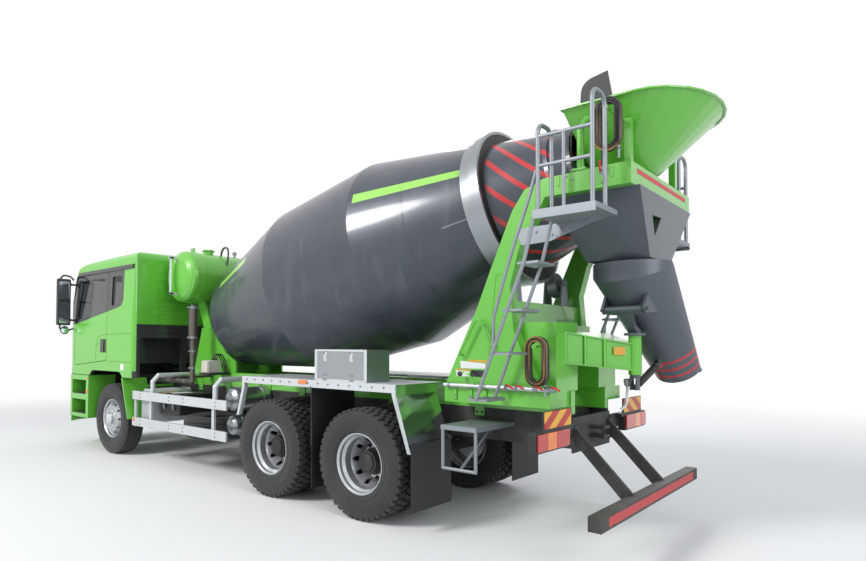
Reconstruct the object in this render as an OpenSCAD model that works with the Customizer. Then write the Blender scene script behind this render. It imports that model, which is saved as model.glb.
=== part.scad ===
// Three-axle truck with a rotating concrete mixer drum.
// X points forward, Y to the truck's left, Z up. The origin lies on the floor, midway along the truck.
// Inside each sub-part x is measured from the front axle, so the rear has negative x.

/* [Wheels and axles] */
// Distance from the front axle to the first rear axle
wheelbase = 3950; // [3500:10:4600]
// Distance between the two rear axles
tandem_pitch = 1375; // [1330:5:1450]
// Outside diameter of a tyre
tyre_d = 1085; // [1040:5:1100]
// Width of a tyre
tyre_w = 295; // [260:5:310]
// Diameter of a rim at the tyre's bead
rim_d = 571; // [540:1:580]
// Distance between the middles of the front tyres
front_track = 2060; // [2040:5:2080]
// Distance between the middles of the rear twin tyres
rear_track = 1850; // [1840:5:1870]
// Distance between the middles of twin tyres
twin_pitch = 345; // [330:1:350]
// Distance between the kingpins
kingpin_w = 1740; // [1720:5:1750]

/* [Chassis] */
// Distance from the front axle to the bumper's front
front_overhang = 1500; // [1500:5:1560]
// Height of the chassis rails' top
rail_top = 1100; // [1090:5:1110]
// Height of a chassis rail
rail_h = 300; // [280:5:310]
// Width across the chassis rails
rail_w = 850; // [820:5:860]
// Width of a rail's flange
rail_flange = 80; // [70:5:90]
// Wall of a rail
rail_wall = 10; // [8:1:12]
// Height of the mixer's subframe above the rails
subframe_h = 200; // [180:5:210]
// Width across the cab and the fenders
body_w = 2490; // [2470:5:2500]

/* [Cab] */
// Distance from the front axle back to the cab's rear wall
cab_rear = 830; // [800:5:850]
// Height of the roof at the cab's rear
cab_roof = 3085; // [3000:5:3120]
// Height of the cab's lower edge at the sides
cab_sill = 1200; // [1180:5:1210]
// Wall of the cab and thickness of its doors
cab_wall = 55; // [45:1:60]
// Gap round a door
door_gap = 8; // [6:0.5:10]
// Length of a door
door_l = 1185; // [1150:5:1190]
// Thickness of the window glass
glass_t = 8; // [5:1:10]
// Height of the pivot on which the cab tilts
cab_pivot_z = 800; // [790:5:805]

/* [Drum] */
// Tilt of the drum's axis
drum_tilt = 12.8; // [11:0.1:13.5]
// Distance from the front axle back to the middle of the drum's mouth
mouth_back = 7127; // [7120:1:7135]
// Height of the middle of the drum's mouth
mouth_z = 3257; // [3250:1:3265]
// Outside diameter of the drum
drum_d = 2164; // [2080:2:2170]
// Length of the drum's front cone
drum_front_l = 1568; // [1500:2:1600]
// Length of the drum's cylinder
drum_mid_l = 1442; // [1400:2:1500]
// Length of the drum's rear cone
drum_rear_l = 2150; // [2100:2:2180]
// Diameter of the drum's front head
head_d = 1458; // [1380:2:1480]
// Depth of the drum's front head
head_depth = 420; // [380:2:440]
// Diameter of the drum's mouth
mouth_d = 960; // [900:2:1000]
// Wall of the drum
drum_wall = 10; // [6:1:14]
// Distance from the drum's mouth down to the track ring
ring_set = 823; // [800:1:840]
// Diameter of the track ring
ring_d = 1594; // [1570:2:1610]
// Width of the track ring
ring_w = 100; // [80:2:110]

/* [Mixer body] */
// Distance from the front axle back to the rim of the charging hopper
rear_reach = 8220; // [8190:5:8260]
// Height of the charging hopper's rim
hopper_rim_z = 3695; // [3640:5:3740]
// Width of the charging hopper at its rim
hopper_w = 1400; // [1300:10:1460]
// Width across the rear pedestal
pedestal_w = 1580; // [1560:5:1600]
// Height of the pedestal's top
pedestal_top = 3124; // [3110:2:3140]
// Height of the service platforms
platform_z = 2750; // [2720:5:2780]
// Height of the fender decks
deck_z = 1330; // [1320:5:1345]
// Diameter of the water tank
water_tank_d = 760; // [680:10:770]
// Length of the water tank's straight part
water_tank_l = 1380; // [1200:10:1500]

/* [Chute] */
// Length of the chute
chute_l = 1200; // [1100:10:1250]
// Radius of the chute at its top
chute_r_top = 350; // [330:2:354]
// Radius of the chute at its lower end
chute_r_end = 210; // [204:2:230]
// Steepness of the chute as it hangs
chute_hang = 50; // [48:1:52]
// How far the chute is swung back from square to the truck
chute_turn = 11.5; // [5:0.5:20]

/* [Hidden] */
$fn = 72;

axle_x = (rear_reach - front_overhang) / 2;
axle_z = tyre_d / 2;
mid_axle = -wheelbase;
rear_axle = -wheelbase - tandem_pitch;
trunnion_x = -wheelbase - tandem_pitch / 2;
half_w = body_w / 2;
rail_y = rail_w / 2;
rail_bottom = rail_top - rail_h;
sub_top = rail_top + subframe_h;
rail_front = 1150;
rail_rear = -7120;
play = 0.05;
seat = 0.3;

green = [0.42, 0.80, 0.20];
frame_black = [0.10, 0.10, 0.11];
drum_grey = [0.28, 0.30, 0.33];
steel_grey = [0.62, 0.64, 0.66];
white_grey = [0.82, 0.84, 0.85];
rubber_black = [0.07, 0.07, 0.07];
plastic_black = [0.09, 0.09, 0.10];
silver = [0.75, 0.77, 0.79];

// Placing and extruding in the three main planes
module from_axle() translate([axle_x, 0, 0]) children();
module both_sides() for (side = [0, 1]) mirror([0, side, 0]) children();
module right_side() mirror([0, 1, 0]) children();
module xz(y0, y1) translate([0, y1, 0]) rotate([90, 0, 0]) linear_extrude(y1 - y0) children();
module yz(x0, x1) translate([x0, 0, 0]) rotate([90, 0, 90]) linear_extrude(x1 - x0) children();
module xy(z0, z1) translate([0, 0, z0]) linear_extrude(z1 - z0) children();
module block(low, high) translate(low) cube(high - low);
module rod_y(r, y0, y1) translate([0, y0, 0]) rotate([-90, 0, 0]) cylinder(r = r, h = y1 - y0);
module rod_x(r, x0, x1) translate([x0, 0, 0]) rotate([0, 90, 0]) cylinder(r = r, h = x1 - x0);
module turn_y() rotate([-90, 0, 0]) rotate_extrude() children();

// Straight tube between two points
module tube(a, b, r) {
    d = b - a;
    translate(a) rotate([0, acos(d[2] / norm(d)), atan2(d[1], d[0])]) cylinder(r = r, h = norm(d));
}
// Tube through a list of points, with a ball at each bend
module bent_tube(points, r) {
    for (i = [0:len(points) - 2]) tube(points[i], points[i + 1], r);
    for (i = [1:1:len(points) - 2]) translate(points[i]) sphere(r = r + 1, $fn = 24);
}

// A rounded outline from corners given as [x, y, radius]
function flat(p) = [p[0], p[1]];
function unit(v) = v / norm(v);
function turn(a) = a - 360 * floor((a + 180) / 360);
function corner(p, q, s, n) =
    let (u = unit(flat(p) - flat(q)), v = unit(flat(s) - flat(q)))
    let (half = acos(u * v) / 2, c = flat(q) + unit(u + v) * q[2] / sin(half))
    let (a = flat(q) + u * q[2] / tan(half) - c, b = flat(q) + v * q[2] / tan(half) - c)
    let (from = atan2(a[1], a[0]), sweep = turn(atan2(b[1], b[0]) - from))
    [for (i = [0:n]) c + q[2] * [cos(from + sweep * i / n), sin(from + sweep * i / n)]];
function rounded(c, n = 5) = let (m = len(c))
    [for (i = [0:m - 1]) each c[i][2] == 0 ? [flat(c[i])]
        : corner(c[(i + m - 1) % m], c[i], c[(i + 1) % m], n)];

// Chassis
cross_members = [1060, -1150, -1650, -3200, trunnion_x, -5950, -6900];
member_h = 150;
pivot_x = 1400;
pivot_r = 30;
bumper_t = 40;
bracket_x = front_overhang - bumper_t - seat;
cab_rest_z = 1790;
spring_y = 385;
front_spring_l = 700;
rear_spring_y = 485;
rear_spring_l = tandem_pitch / 2 + 60;
rear_spring_z = 655;
module rail() difference() {
    block([rail_rear, rail_y - rail_flange, rail_bottom], [rail_front, rail_y, rail_top]);
    block([rail_rear - 1, rail_y - rail_flange - 1, rail_bottom + rail_wall],
        [rail_front + 1, rail_y - rail_wall, rail_top - rail_wall]);
}
module cab_pivot_bracket() xz(rail_y - 40, rail_y) difference() {
    polygon(rounded([[rail_front - 100, 1000, 0], [rail_front - 100, rail_bottom, 0],
        [pivot_x - 60, cab_pivot_z - 75, 0], [bracket_x, cab_pivot_z - 75, 0],
        [bracket_x, cab_pivot_z, 0], [pivot_x + 20, cab_pivot_z + 60, 40], [rail_front + 60, 1000, 0]]));
    translate([pivot_x, cab_pivot_z]) circle(r = pivot_r + play);
}
module spring_hangers() for (x = [front_spring_l, -front_spring_l])
    block([x - 40, spring_y - 40, rail_bottom - 80], [x + 40, spring_y + 40, rail_bottom]);
module trunnion_bracket() xz(rail_y, rail_y + 15) polygon([[trunnion_x - 260, rail_top - 40],
    [trunnion_x + 260, rail_top - 40], [trunnion_x + 90, 540], [trunnion_x - 90, 540]]);
module rear_tow() difference() {
    union() {
        block([rail_rear - 12, -rail_y, rail_bottom - 40], [rail_rear, rail_y, rail_top - 30]);
        for (z = [880, 960]) block([rail_rear - 150, -70, z - 12], [rail_rear - 12, 70, z + 12]);
    }
    translate([rail_rear - 95, 0, 800]) cylinder(r = 25, h = 300);
}
module chassis_frame() color(frame_black) from_axle() {
    both_sides() {
        rail();
        cab_pivot_bracket();
        spring_hangers();
        trunnion_bracket();
        trunnion();
        block([-790, rail_y - rail_flange, rail_top], [-710, rail_y, cab_rest_z - seat]);
        block([-780, 0, rail_top + 150], [-720, rail_y, rail_top + 210]);
    }
    for (x = cross_members)
        block([x - 60, rail_wall - rail_y, rail_top - rail_wall - member_h],
            [x + 60, rail_y - rail_wall, rail_top - rail_wall]);
    rear_tow();
}
module trunnion() translate([trunnion_x, 0, rear_spring_z - 55]) rod_y(55, rail_y - 100, rear_spring_y + 45);

// Springs
leaf_t = 20;
function bow(l, rise) = [for (i = [-6:6]) [l * i / 6, rise * i * i / 36]];
module leaf(l, rise, t, w) xz(-w / 2, w / 2)
    polygon(concat(bow(l, rise), [for (p = [for (i = [6:-1:-6]) bow(l, rise)[i + 6]]) p + [0, t]]));
module front_spring() translate([0, spring_y, rail_bottom - 80]) for (i = [0:4])
    translate([0, 0, -40 - leaf_t * (i + 1)])
        leaf(front_spring_l * (1 - i * 0.17), 40 * pow(1 - i * 0.17, 2), leaf_t + (i == 0 ? 0 : 0.5), 76);
module rear_spring() translate([trunnion_x, rear_spring_y, rear_spring_z]) for (i = [0:5])
    translate([0, 0, leaf_t * i])
        leaf(rear_spring_l * (1 - i * 0.15), 0.1, leaf_t + 0.5, 84);
module leaf_springs() color(frame_black) from_axle() both_sides() {
    front_spring();
    rear_spring();
}

// Axles
beam_top = 565;
module front_axle() color(frame_black) from_axle() {
    yz(-45, 45) both_2d() polygon([[0, 430], [600, 430], [kingpin_w / 2 - 40, axle_z - 45],
        [kingpin_w / 2 - 40, axle_z + 45], [600, axle_z - 20], [470, 500], [430, beam_top + 15],
        [340, beam_top + 15], [300, 500], [0, 500]]);
    both_sides() translate([0, kingpin_w / 2, axle_z]) difference() {
        translate([0, 0, -55.5]) cylinder(r = 45, h = 111);
        translate([0, 0, -60]) cylinder(r = kingpin_r + play, h = 120);
    }
}
kingpin_r = 22;
module both_2d() for (side = [0, 1]) mirror([side, 0]) children();
spindle_r = 42;
rear_hub_in = 165;
module rear_axle_beam() {
    half = rear_track / 2;
    rod_y(65, 6 - half + rear_hub_in, half - rear_hub_in - 6);
    rod_y(spindle_r, -half - 120, half + 120);
    sphere(r = 210);
    rod_x(110, 0, pinion_l);
    both_sides() translate([0, rear_spring_y, 0]) block([-60, -50, 0], [60, 50, rear_spring_z - axle_z]);
}
pinion_l = 260;
module rear_axles() color(frame_black) from_axle() {
    for (x = [mid_axle, rear_axle]) translate([x, 0, axle_z]) rear_axle_beam();
    translate([mid_axle, 0, axle_z]) rod_x(90, -pinion_l, 0);
}

module driveline() color([0.35, 0.36, 0.37]) from_axle() {
    block([-950, -330, 620], [850, 330, 1185]);
    block([-1500, -200, 640], [-950, 200, 930]);
    translate([0, 0, axle_z]) rod_x(50, rear_axle + pinion_l, mid_axle - pinion_l);
    translate([0, 0, axle_z]) rod_x(85, mid_axle + pinion_l, mid_axle + pinion_l + 120);
    tube([mid_axle + pinion_l + 110, 0, axle_z + 3], [-1490, 0, 780], 55);
}

// Cab
cab_front = front_overhang;
cab_x0 = -cab_rear;
door_front = 1200;
door_rear = door_front - door_l;
lean = 35;
module cab_side_2d(t, low) polygon(rounded([
    [cab_x0 + t, low, 0], [cab_x0 + t, cab_roof - t, 110], [880, cab_roof - 75 - t, 500],
    [1150 - t, cab_roof - 140 - t, 120], [1440 - t, 1990, 80], [cab_front - t, 1500, 100],
    [cab_front - t, low, 0]], 5));
module cab_front_2d(t, low) both_2d() polygon(rounded([[0, low, 0], [half_w - t, low, 0],
    [half_w - t, 2050, 300], [half_w - lean - t, cab_roof - 20 - t, 110], [0, cab_roof + 5 - t, 0]], 5));
module cab_plan_2d(t) for (side = [0, 1]) mirror([0, side])
    polygon(rounded([[cab_x0 + t, 0, 0], [cab_x0 + t, half_w - t, 70],
    [cab_front - t, half_w - t, 260], [cab_front - t, 0, 0]], 6));
module cab_body(t, low, plan_t) intersection() {
    xz(-half_w - 10, half_w + 10) cab_side_2d(t, low);
    yz(cab_x0 - 10, cab_front + 10) cab_front_2d(t, low);
    xy(low - 10, cab_roof + 10) cab_plan_2d(plan_t);
}
cab_floor = 1440;
bunk_x = -420;
lip_z = 915;
door_top = cab_roof - 255;
window_top = cab_roof - 345;
window_low = cab_roof - 995;
module door_2d(g) polygon(rounded([[door_front - g, 1340 + g, 60], [door_front - g, window_low + 30, 60],
    [1010 - g, door_top - g, 60], [door_rear + g, door_top - g, 50], [door_rear + g, 1440 + g, 60]], 4));
module door_window_2d(g) polygon(rounded([[1085 - g, window_low + g, 40], [1085 - g, window_low + 110, 40],
    [960 - g, window_top - g, 60],
    [door_rear + 130 + g, window_top - g, 50],
    [door_rear + 130 + g, window_low + 140 + g, 40]], 4));
module quarter_window_2d(g) polygon(rounded([[-110 - g, window_low + 190 + g, 40],
    [-110 - g, window_top - g, 40], [-420 + g, window_top - g, 50],
    [-400 + g, window_low + 310 + g, 60], [-350 + g, window_low + 230 + g, 50]], 4));
module windscreen_2d(g) both_2d()
    polygon(rounded([[0, window_low - 70 + g, 0], [1075 - g, window_low - 70 + g, 60],
    [1030 - g, window_top + 110 - g, 60], [0, window_top + 110 - g, 0]], 4));
module side_prism() {
    xz(half_w - 200, half_w + 50) children();
    right_side() xz(half_w - 200, half_w + 50) children();
}
grille_bars = 6;
module cab_shell() color(green) from_axle() {
    difference() {
        cab_panels();
        both_sides() cab_pockets();
    }
    both_sides() difference() {
        for (z = hinge_low) hinge_knuckle(z, 25);
        for (z = hinge_low) translate([hinge_x, hinge_line_y, z - 1])
            cylinder(r = hinge_pin_r + play, h = hinge_h + 2);
    }
    cab_arms();
}
// Pressed ribs across the roof and the rear wall
rib_out = 8;
rib_half = 900;
rib_w = 60;
module cab_ribs() intersection() {
    cab_body(-rib_out, cab_sill, -rib_out);
    union() {
        for (x = [cab_x0 + 130:190:500])
            block([x, -rib_half, cab_roof - 250], [x + rib_w, rib_half, cab_roof + 50]);
        for (z = [cab_rest_z + 90:130:cab_roof - 300])
            block([cab_x0 - 20, -rib_half, z], [cab_x0 + 20, rib_half, z + rib_w]);
    }
}
module cab_panels() difference() {
    union() {
        difference() {
            union() {
                cab_body(0, cab_sill, 0);
                cab_ribs();
            }
            difference() {
                cab_body(cab_wall, cab_floor, cab_wall);
                block([cab_x0, -half_w, cab_floor - 1], [bunk_x + cab_wall, half_w, cab_rest_z + cab_wall]);
            }
            block([cab_x0 - 1, 110 - half_w, cab_sill - 50], [bunk_x, half_w - 110, cab_rest_z]);
            block([cab_x0 + cab_wall, cab_wall - half_w, cab_sill - 50],
                [1330, half_w - cab_wall, cab_floor - 40]);
        }
        intersection() {
            cab_body(0, lip_z, 0);
                block([1340, -half_w, lip_z], [cab_front, half_w, cab_sill + 1]);
        }
        both_sides() {
            intersection() {
                cab_body(20, lip_z, 20);
                xz(rail_y + 20, rail_y + 60) polygon([[1330, lip_z], [1440, lip_z], [1440, cab_floor],
                    [1240, cab_floor]]);
            }
        }
    }
    intersection() {
        cab_body(cab_wall, lip_z - 1, cab_wall);
        block([0, -half_w, lip_z - 1], [cab_front, half_w, cab_floor - 40]);
    }
    side_prism() door_2d(0);
    side_prism() quarter_window_2d(0);
    side_prism() polygon(rounded([[640, cab_sill - 50, 0], [560, 1282, 150], [-440, 1282, 130],
        [-540, cab_sill - 50, 0]]));
    yz(950, cab_front + 50) windscreen_2d(0);
    for (i = [0:grille_bars - 1]) block([cab_front - 200, -700, 1130 + i * 95],
        [cab_front + 50, 700, 1180 + i * 95]);
}
module cab_arms() {
    both_sides() xz(rail_y + 20, rail_y + 60)
        polygon([[pivot_x - 22, cab_pivot_z], [pivot_x + 22, cab_pivot_z], [pivot_x - 20, lip_z + 60],
            [pivot_x - 70, cab_floor], [pivot_x - 160, cab_floor], [pivot_x - 60, lip_z]]);
    translate([pivot_x, 0, cab_pivot_z]) rod_y(pivot_r, -rail_y - 60, rail_y + 60);
}
module pane(depth) difference() {
    cab_body(depth, cab_sill, depth);
    cab_body(depth + glass_t, cab_sill - 1, depth + glass_t);
}
module cab_glass() color([0.25, 0.32, 0.36]) from_axle() {
    intersection() { pane(12); yz(950, cab_front + 50) windscreen_2d(seat); }
    intersection() { pane(12); side_prism() quarter_window_2d(seat); }
}
visor_top = cab_roof - 125;
mirror_x = 1290;
mirror_low = window_low - 80;
mirror_top = window_top + 50;
module cab_trim() color(plastic_black) from_axle() {
    both_sides() {
        difference() {
            xz(1300, 1500) polygon(rounded([[mirror_x - 40, mirror_low, 40], [mirror_x - 40, mirror_top, 40],
                [mirror_x + 40, mirror_top, 40], [mirror_x + 40, mirror_low, 40]]));
            block([mirror_x - 41, 1310, mirror_low + 30], [mirror_x - 28, 1490, mirror_low + 390]);
            block([mirror_x - 41, 1310, mirror_low + 430], [mirror_x - 28, 1490, mirror_top - 40]);
        }
        difference() {
            for (z = [mirror_low + 90, mirror_top - 90])
                tube([mirror_x, 1305, z], [mirror_x, half_w - 60, z], 16);
            cab_body(-seat, cab_sill, -seat);
        }
    }
    difference() {
        union() {
            difference() {
                yz(1180, 1420) both_2d() polygon([[0, visor_top], [1080, visor_top - 15],
                    [1100, visor_top - 160], [0, visor_top - 130]]);
                yz(1100, 1330) both_2d() polygon([[0, visor_top - 60], [1200, visor_top - 60],
                    [1200, visor_top - 260], [0, visor_top - 260]]);
            }
            both_sides() block([1150, 780, visor_top - 90], [1350, 800, visor_top - 40]);
        }
        cab_body(-seat, cab_sill, -seat);
    }
}
module seat_shape() {
    block([-260, -240, 1720], [240, 240, 1840]);
    xz(-235, 235) polygon(rounded([[-240, 1835, 0], [-90, 1835, 0], [-220, 2440, 40], [-340, 2440, 40]]));
    block([-150, -150, cab_floor], [150, 150, 1720]);
}
module cab_interior() color([0.20, 0.21, 0.22]) from_axle() {
    both_sides() translate([250, 620, 0]) seat_shape();
    xz(-1100, 1100) polygon(rounded([[1100, cab_floor, 0], [1000, 1900, 60], [1120, 2000, 60],
        [1340, 1960, 0], [1340, cab_floor, 0]]));
    translate([820, 620, 1960]) rotate([0, -60, 0]) {
        rotate_extrude() translate([215, 0]) circle(r = 16, $fn = 24);
        for (a = [30, 150, 270]) rotate([0, 0, a]) tube([0, 0, 0], [215, 0, 0], 12);
        translate([0, 0, -320]) cylinder(r = 30, h = 340);
    }
}
hinge_x = door_front - door_gap / 2;
hinge_line_y = half_w - 2;
hinge_low = [1480, 1900];
hinge_h = 40;
hinge_r = 9;
hinge_pin_r = 4;
module hinge_knuckle(z, end) translate([hinge_x, hinge_line_y, z]) {
    cylinder(r = hinge_r, h = hinge_h);
    block([min(0, end), -6, 0], [max(0, end), 2, hinge_h]);
}
module door_pockets() for (z = hinge_low) translate([hinge_x, hinge_line_y, z - 2])
    cylinder(r = hinge_r + 2, h = hinge_h + 2);
module cab_pockets() for (z = hinge_low) translate([hinge_x, hinge_line_y, z + hinge_h])
    cylinder(r = hinge_r + 2, h = hinge_h + 2);
module door_panel() intersection() {
    difference() {
        cab_body(0, cab_sill, 0);
        cab_body(cab_wall, cab_sill - 1, cab_wall);
    }
    xz(half_w - 200, half_w + 50) difference() {
        door_2d(door_gap);
        door_window_2d(0);
    }
}
module door() {
    for (z = hinge_low) {
        hinge_knuckle(z + hinge_h + seat, -30);
        translate([hinge_x, hinge_line_y, z + 2]) cylinder(r = hinge_pin_r, h = hinge_h);
    }
    difference() {
        door_panel();
        door_pockets();
        xz(half_w - 12, half_w + 50) polygon(rounded([[80, 1600, 20], [80, 1720, 20], [200, 1720, 20],
            [200, 1600, 20]]));
    }
    xz(half_w - 8, half_w - 2) polygon([[95, 1640], [95, 1680], [205, 1680], [205, 1640]]);
}
module door_left() color(green) from_axle() door();
module door_right() color(green) right_side() from_axle() door();
module door_pane() intersection() { pane(12); xz(half_w - 200, half_w + 50) door_window_2d(seat); }
module door_glass_left() color([0.25, 0.32, 0.36]) from_axle() door_pane();
module door_glass_right() color([0.25, 0.32, 0.36]) right_side() from_axle() door_pane();

// Front bumper, steps and the mudguards behind the front wheels
bumper_top = 845;
bumper_low = 400;
headlamp_y = [760, 1100];
headlamp_z = [620, 800];
step_front = 1320;
step_rear = 645;
module front_bumper() color(green) from_axle() {
    difference() {
        xy(bumper_low, bumper_top) cab_plan_2d(0);
        xy(bumper_low - 1, bumper_top - 25) cab_plan_2d(bumper_t);
        block([cab_x0 - 50, -half_w - 10, 0], [step_front, half_w + 10, 2000]);
        block([1300, -rail_y - 73, bumper_top - 130], [cab_front - bumper_t, rail_y + 73, 1000]);
        both_sides() block([1300, rail_y + 7, bumper_top - 130], [cab_front - 25, rail_y + 73, 1000]);
        both_sides() block([1400, headlamp_y[0], headlamp_z[0]], [1600, headlamp_y[1], headlamp_z[1]]);
        block([1400, -500, 470], [1600, 500, 560]);
    }
    both_sides() {
        difference() {
            block([step_rear, 800, 500], [step_front, half_w, 1190]);
            for (z = [560, 880]) block([step_rear + 90, 950, z], [step_front - 60, half_w + 10, z + 230]);
        }
        xz(860, half_w) polygon([[-480, 1190], [-510, 1190], [-700, 600], [-685, 590]]);
        block([-560, rail_y, rail_top - 60], [-520, 1012, rail_top - 20]);
        block([step_rear + 300, rail_y, 820], [step_rear + 360, 801, 880]);
    }
}

// Wheels. Each profile is drawn as [radius, distance along the axle].
rim_r = rim_d / 2;
flange_r = rim_r + 13;
bead_half = 110;
bead_r = rim_r + seat;
tyre_half = tyre_w / 2;
tyre_r = tyre_d / 2;
tyre_side = [[bead_r, bead_half - seat], [flange_r + 2, bead_half - seat], [flange_r + 12, bead_half + 12],
    [tyre_r - 160, tyre_half - 4], [tyre_r - 115, tyre_half], [tyre_r - 60, tyre_half - 4],
    [tyre_r - 26, tyre_half - 16], [tyre_r - 6, tyre_half - 34], [tyre_r, tyre_half - 50]];
groove_y = [70, 25];
groove_w = 12;
groove_d = 14;
function mirrored(p) = [for (i = [len(p) - 1:-1:0]) [p[i][0], -p[i][1]]];
module tyre_2d() difference() {
    polygon(concat(tyre_side, mirrored(tyre_side)));
    for (y = groove_y, side = [-1, 1]) translate([tyre_r - groove_d, side * y - groove_w / 2])
        square([groove_d + 1, groove_w]);
}
module tyre() turn_y() tyre_2d();
barrel_side = [[rim_r - 10, 0], [rim_r - 34, 0], [rim_r - 34, 45], [rim_r - 10, 72], [rim_r - 10, 104],
    [rim_r + 4, bead_half + 10], [flange_r, bead_half + 10], [flange_r, bead_half], [rim_r, bead_half],
    [rim_r, 76], [rim_r - 24, 52], [rim_r - 24, 0]];
module barrel_2d() for (side = [0, 1]) mirror([0, side])
    polygon([for (i = [1:len(barrel_side) - 1]) barrel_side[i]]);
well_r = rim_r - 29;
hand_holes = 10;

// Twin rims: deep discs that meet between the two tyres
module twin_rims() difference() {
    union() {
        for (side = [0, 1]) mirror([0, side, 0]) turn_y() {
            translate([0, twin_pitch / 2]) barrel_2d();
            polygon([[well_r, twin_pitch / 2 - 25], [178, 12], [150, 12], [150, 0], [186, 0],
                [well_r, twin_pitch / 2 - 45]]);
        }
        rod_y(200, -rear_hub_in, -14);
        rod_y(160, -15, 15);
        rod_y(132, 14, 70);
        rod_y(110, 69, 165);
        rod_y(85, 164, 182);
    }
    rod_y(spindle_r + play, -rear_hub_in - 1, 122);
    for (i = [0:hand_holes - 1]) rotate([0, i * 360 / hand_holes, 0]) translate([216, 0, 0])
        rod_y(26, 15, 200);
}
// Front rim: a convex disc with its hub standing proud
module front_rim() difference() {
    union() {
        turn_y() {
            barrel_2d();
            polygon([[well_r, 5], [well_r, 25], [206, 128], [120, 128], [120, 114], [198, 114]]);
        }
        rod_y(190, -90, -20);
        rod_y(125, -21, 128);
        rod_y(80, 127, 165);
    }
    rod_y(38 + play, -91, 112);
    for (i = [0:hand_holes - 1]) rotate([0, i * 360 / hand_holes, 0]) translate([224, 0, 0])
        rod_y(20, 30, 160);
}
module at_front(side) from_axle() translate([0, side * front_track / 2, axle_z])
    mirror([0, side < 0 ? 1 : 0, 0]) children();
module at_rear(x, side) from_axle() translate([x, side * rear_track / 2, axle_z])
    mirror([0, side < 0 ? 1 : 0, 0]) children();
module twin_tyres() for (side = [-1, 1]) translate([0, side * twin_pitch / 2, 0]) tyre();
module tyre_front_left() color(rubber_black) at_front(1) tyre();
module tyre_front_right() color(rubber_black) at_front(-1) tyre();
module tyres_mid_left() color(rubber_black) at_rear(mid_axle, 1) twin_tyres();
module tyres_mid_right() color(rubber_black) at_rear(mid_axle, -1) twin_tyres();
module tyres_rear_left() color(rubber_black) at_rear(rear_axle, 1) twin_tyres();
module tyres_rear_right() color(rubber_black) at_rear(rear_axle, -1) twin_tyres();
module rim_front_left() color(silver) at_front(1) front_rim();
module rim_front_right() color(silver) at_front(-1) front_rim();
module rims_mid_left() color(silver) at_rear(mid_axle, 1) twin_rims();
module rims_mid_right() color(silver) at_rear(mid_axle, -1) twin_rims();
module rims_rear_left() color(silver) at_rear(rear_axle, 1) twin_rims();
module rims_rear_right() color(silver) at_rear(rear_axle, -1) twin_rims();

module knuckle() translate([0, kingpin_w / 2, axle_z]) {
    hub_y = (front_track - kingpin_w) / 2;
    for (s = [0, 1]) mirror([0, 0, s]) {
        translate([0, 0, 56]) cylinder(r = 48, h = 44);
        block([-40, 0, 56], [40, 65, 100]);
    }
    translate([0, 0, -99]) cylinder(r = kingpin_r, h = 198);
    block([-60, 47, -100], [60, 65, 100]);
    rod_y(175, 55, 65);
    rod_y(38, 60, hub_y + 110);
}
module knuckle_left() color(frame_black) from_axle() knuckle();
module knuckle_right() color(frame_black) right_side() from_axle() knuckle();

// Pieces along the sides
guard_x0 = -725;
guard_x1 = -3080;
guard_y = 1160;
guard_low = 506;
guard_top = 1011;
module guard_tube(x) {
    bent_tube([[x, guard_y - 34, guard_top - 100], [x, guard_y - 34, guard_top + 150],
        [x, guard_y - 120, sub_top - 50],
        [x, rail_y, sub_top - 50]], 33);
}
module side_guards() color(white_grey) from_axle() both_sides() {
    for (z = [guard_low, guard_top - 122]) block([guard_x1, guard_y, z], [guard_x0, guard_y + 28, z + 122]);
    for (x = [guard_x0 - 30, -1200, -2760])
        block([x - 27, guard_y - 30, guard_low - 15], [x + 27, guard_y, guard_top]);
    for (x = [-1200, -2760]) guard_tube(x);
}
air_tank_x = -2890;
module air_tank(r, z, y0, y1) translate([air_tank_x, 0, z]) {
    rod_y(r, y0, y1);
    turn_y() polygon([[0, y1 - 1], [r, y1 - 1], [r * 0.93, y1 + r * 0.25], [r * 0.6, y1 + r * 0.45],
        [0, y1 + r * 0.55]]);
    for (y = [y0 + 90, y1 - 90]) turn_y() translate([r - 2, y]) square([8, 30]);
}
module air_tanks() color(steel_grey) from_axle() {
    air_tank(150, 1000, rail_y + 25, 930);
    air_tank(125, 675, rail_y + 25, 930);
    block([air_tank_x - 40, rail_y, 700], [air_tank_x + 40, rail_y + 26, 1010]);
}
module battery_box() color([0.5, 0.52, 0.53]) from_axle() {
    difference() {
        xz(470, 1110) polygon(rounded([[-860, 560, 20], [-860, 1050, 120], [-1150, 1050, 60],
            [-1150, 560, 20]]));
        for (i = [0:6]) block([-1125 + i * 38, 1100, 600], [-1110 + i * 38, 1120, 900]);
    }
    block([-1050, rail_y, 820], [-950, 471, 900]);
}
module fuel_tank() color(silver) right_side() from_axle() {
    xz(470, 1060) polygon(rounded([[-900, 500, 90], [-900, 1060, 90], [-2400, 1060, 90], [-2400, 500, 90]]));
    for (x = [-1350, -2100]) {
        block([x - 30, rail_y, 820], [x + 30, 471, 900]);
        xz(469, 1063) translate([x, 0]) polygon(rounded([[-25, 497, 0], [-25, 1063, 0], [25, 1063, 0],
            [25, 497, 0]]));
    }
    translate([-1000, 1000, 1055]) cylinder(r = 60, h = 45);
}
spare_x = -2210;
spare_y = 600;
module spare_wheel() color(rubber_black) from_axle() translate([spare_x, spare_y, 0]) {
    translate([0, 0, 590]) rotate([90, 0, 0]) tyre();
    translate([0, 0, 590]) rotate([90, 0, 0]) turn_y() barrel_2d();
    translate([0, 0, 590]) cylinder(r = well_r, h = 14);
    block([-30, rail_y - rail_flange - spare_y, 590], [30, rail_y - spare_y, rail_bottom]);
}
fender_front = mid_axle + 496;
fender_rear = rear_axle - 475;
panel_low = 712;
flap_x = fender_rear - 175;
fender_y = 1225;
panel_y = 590;
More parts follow.
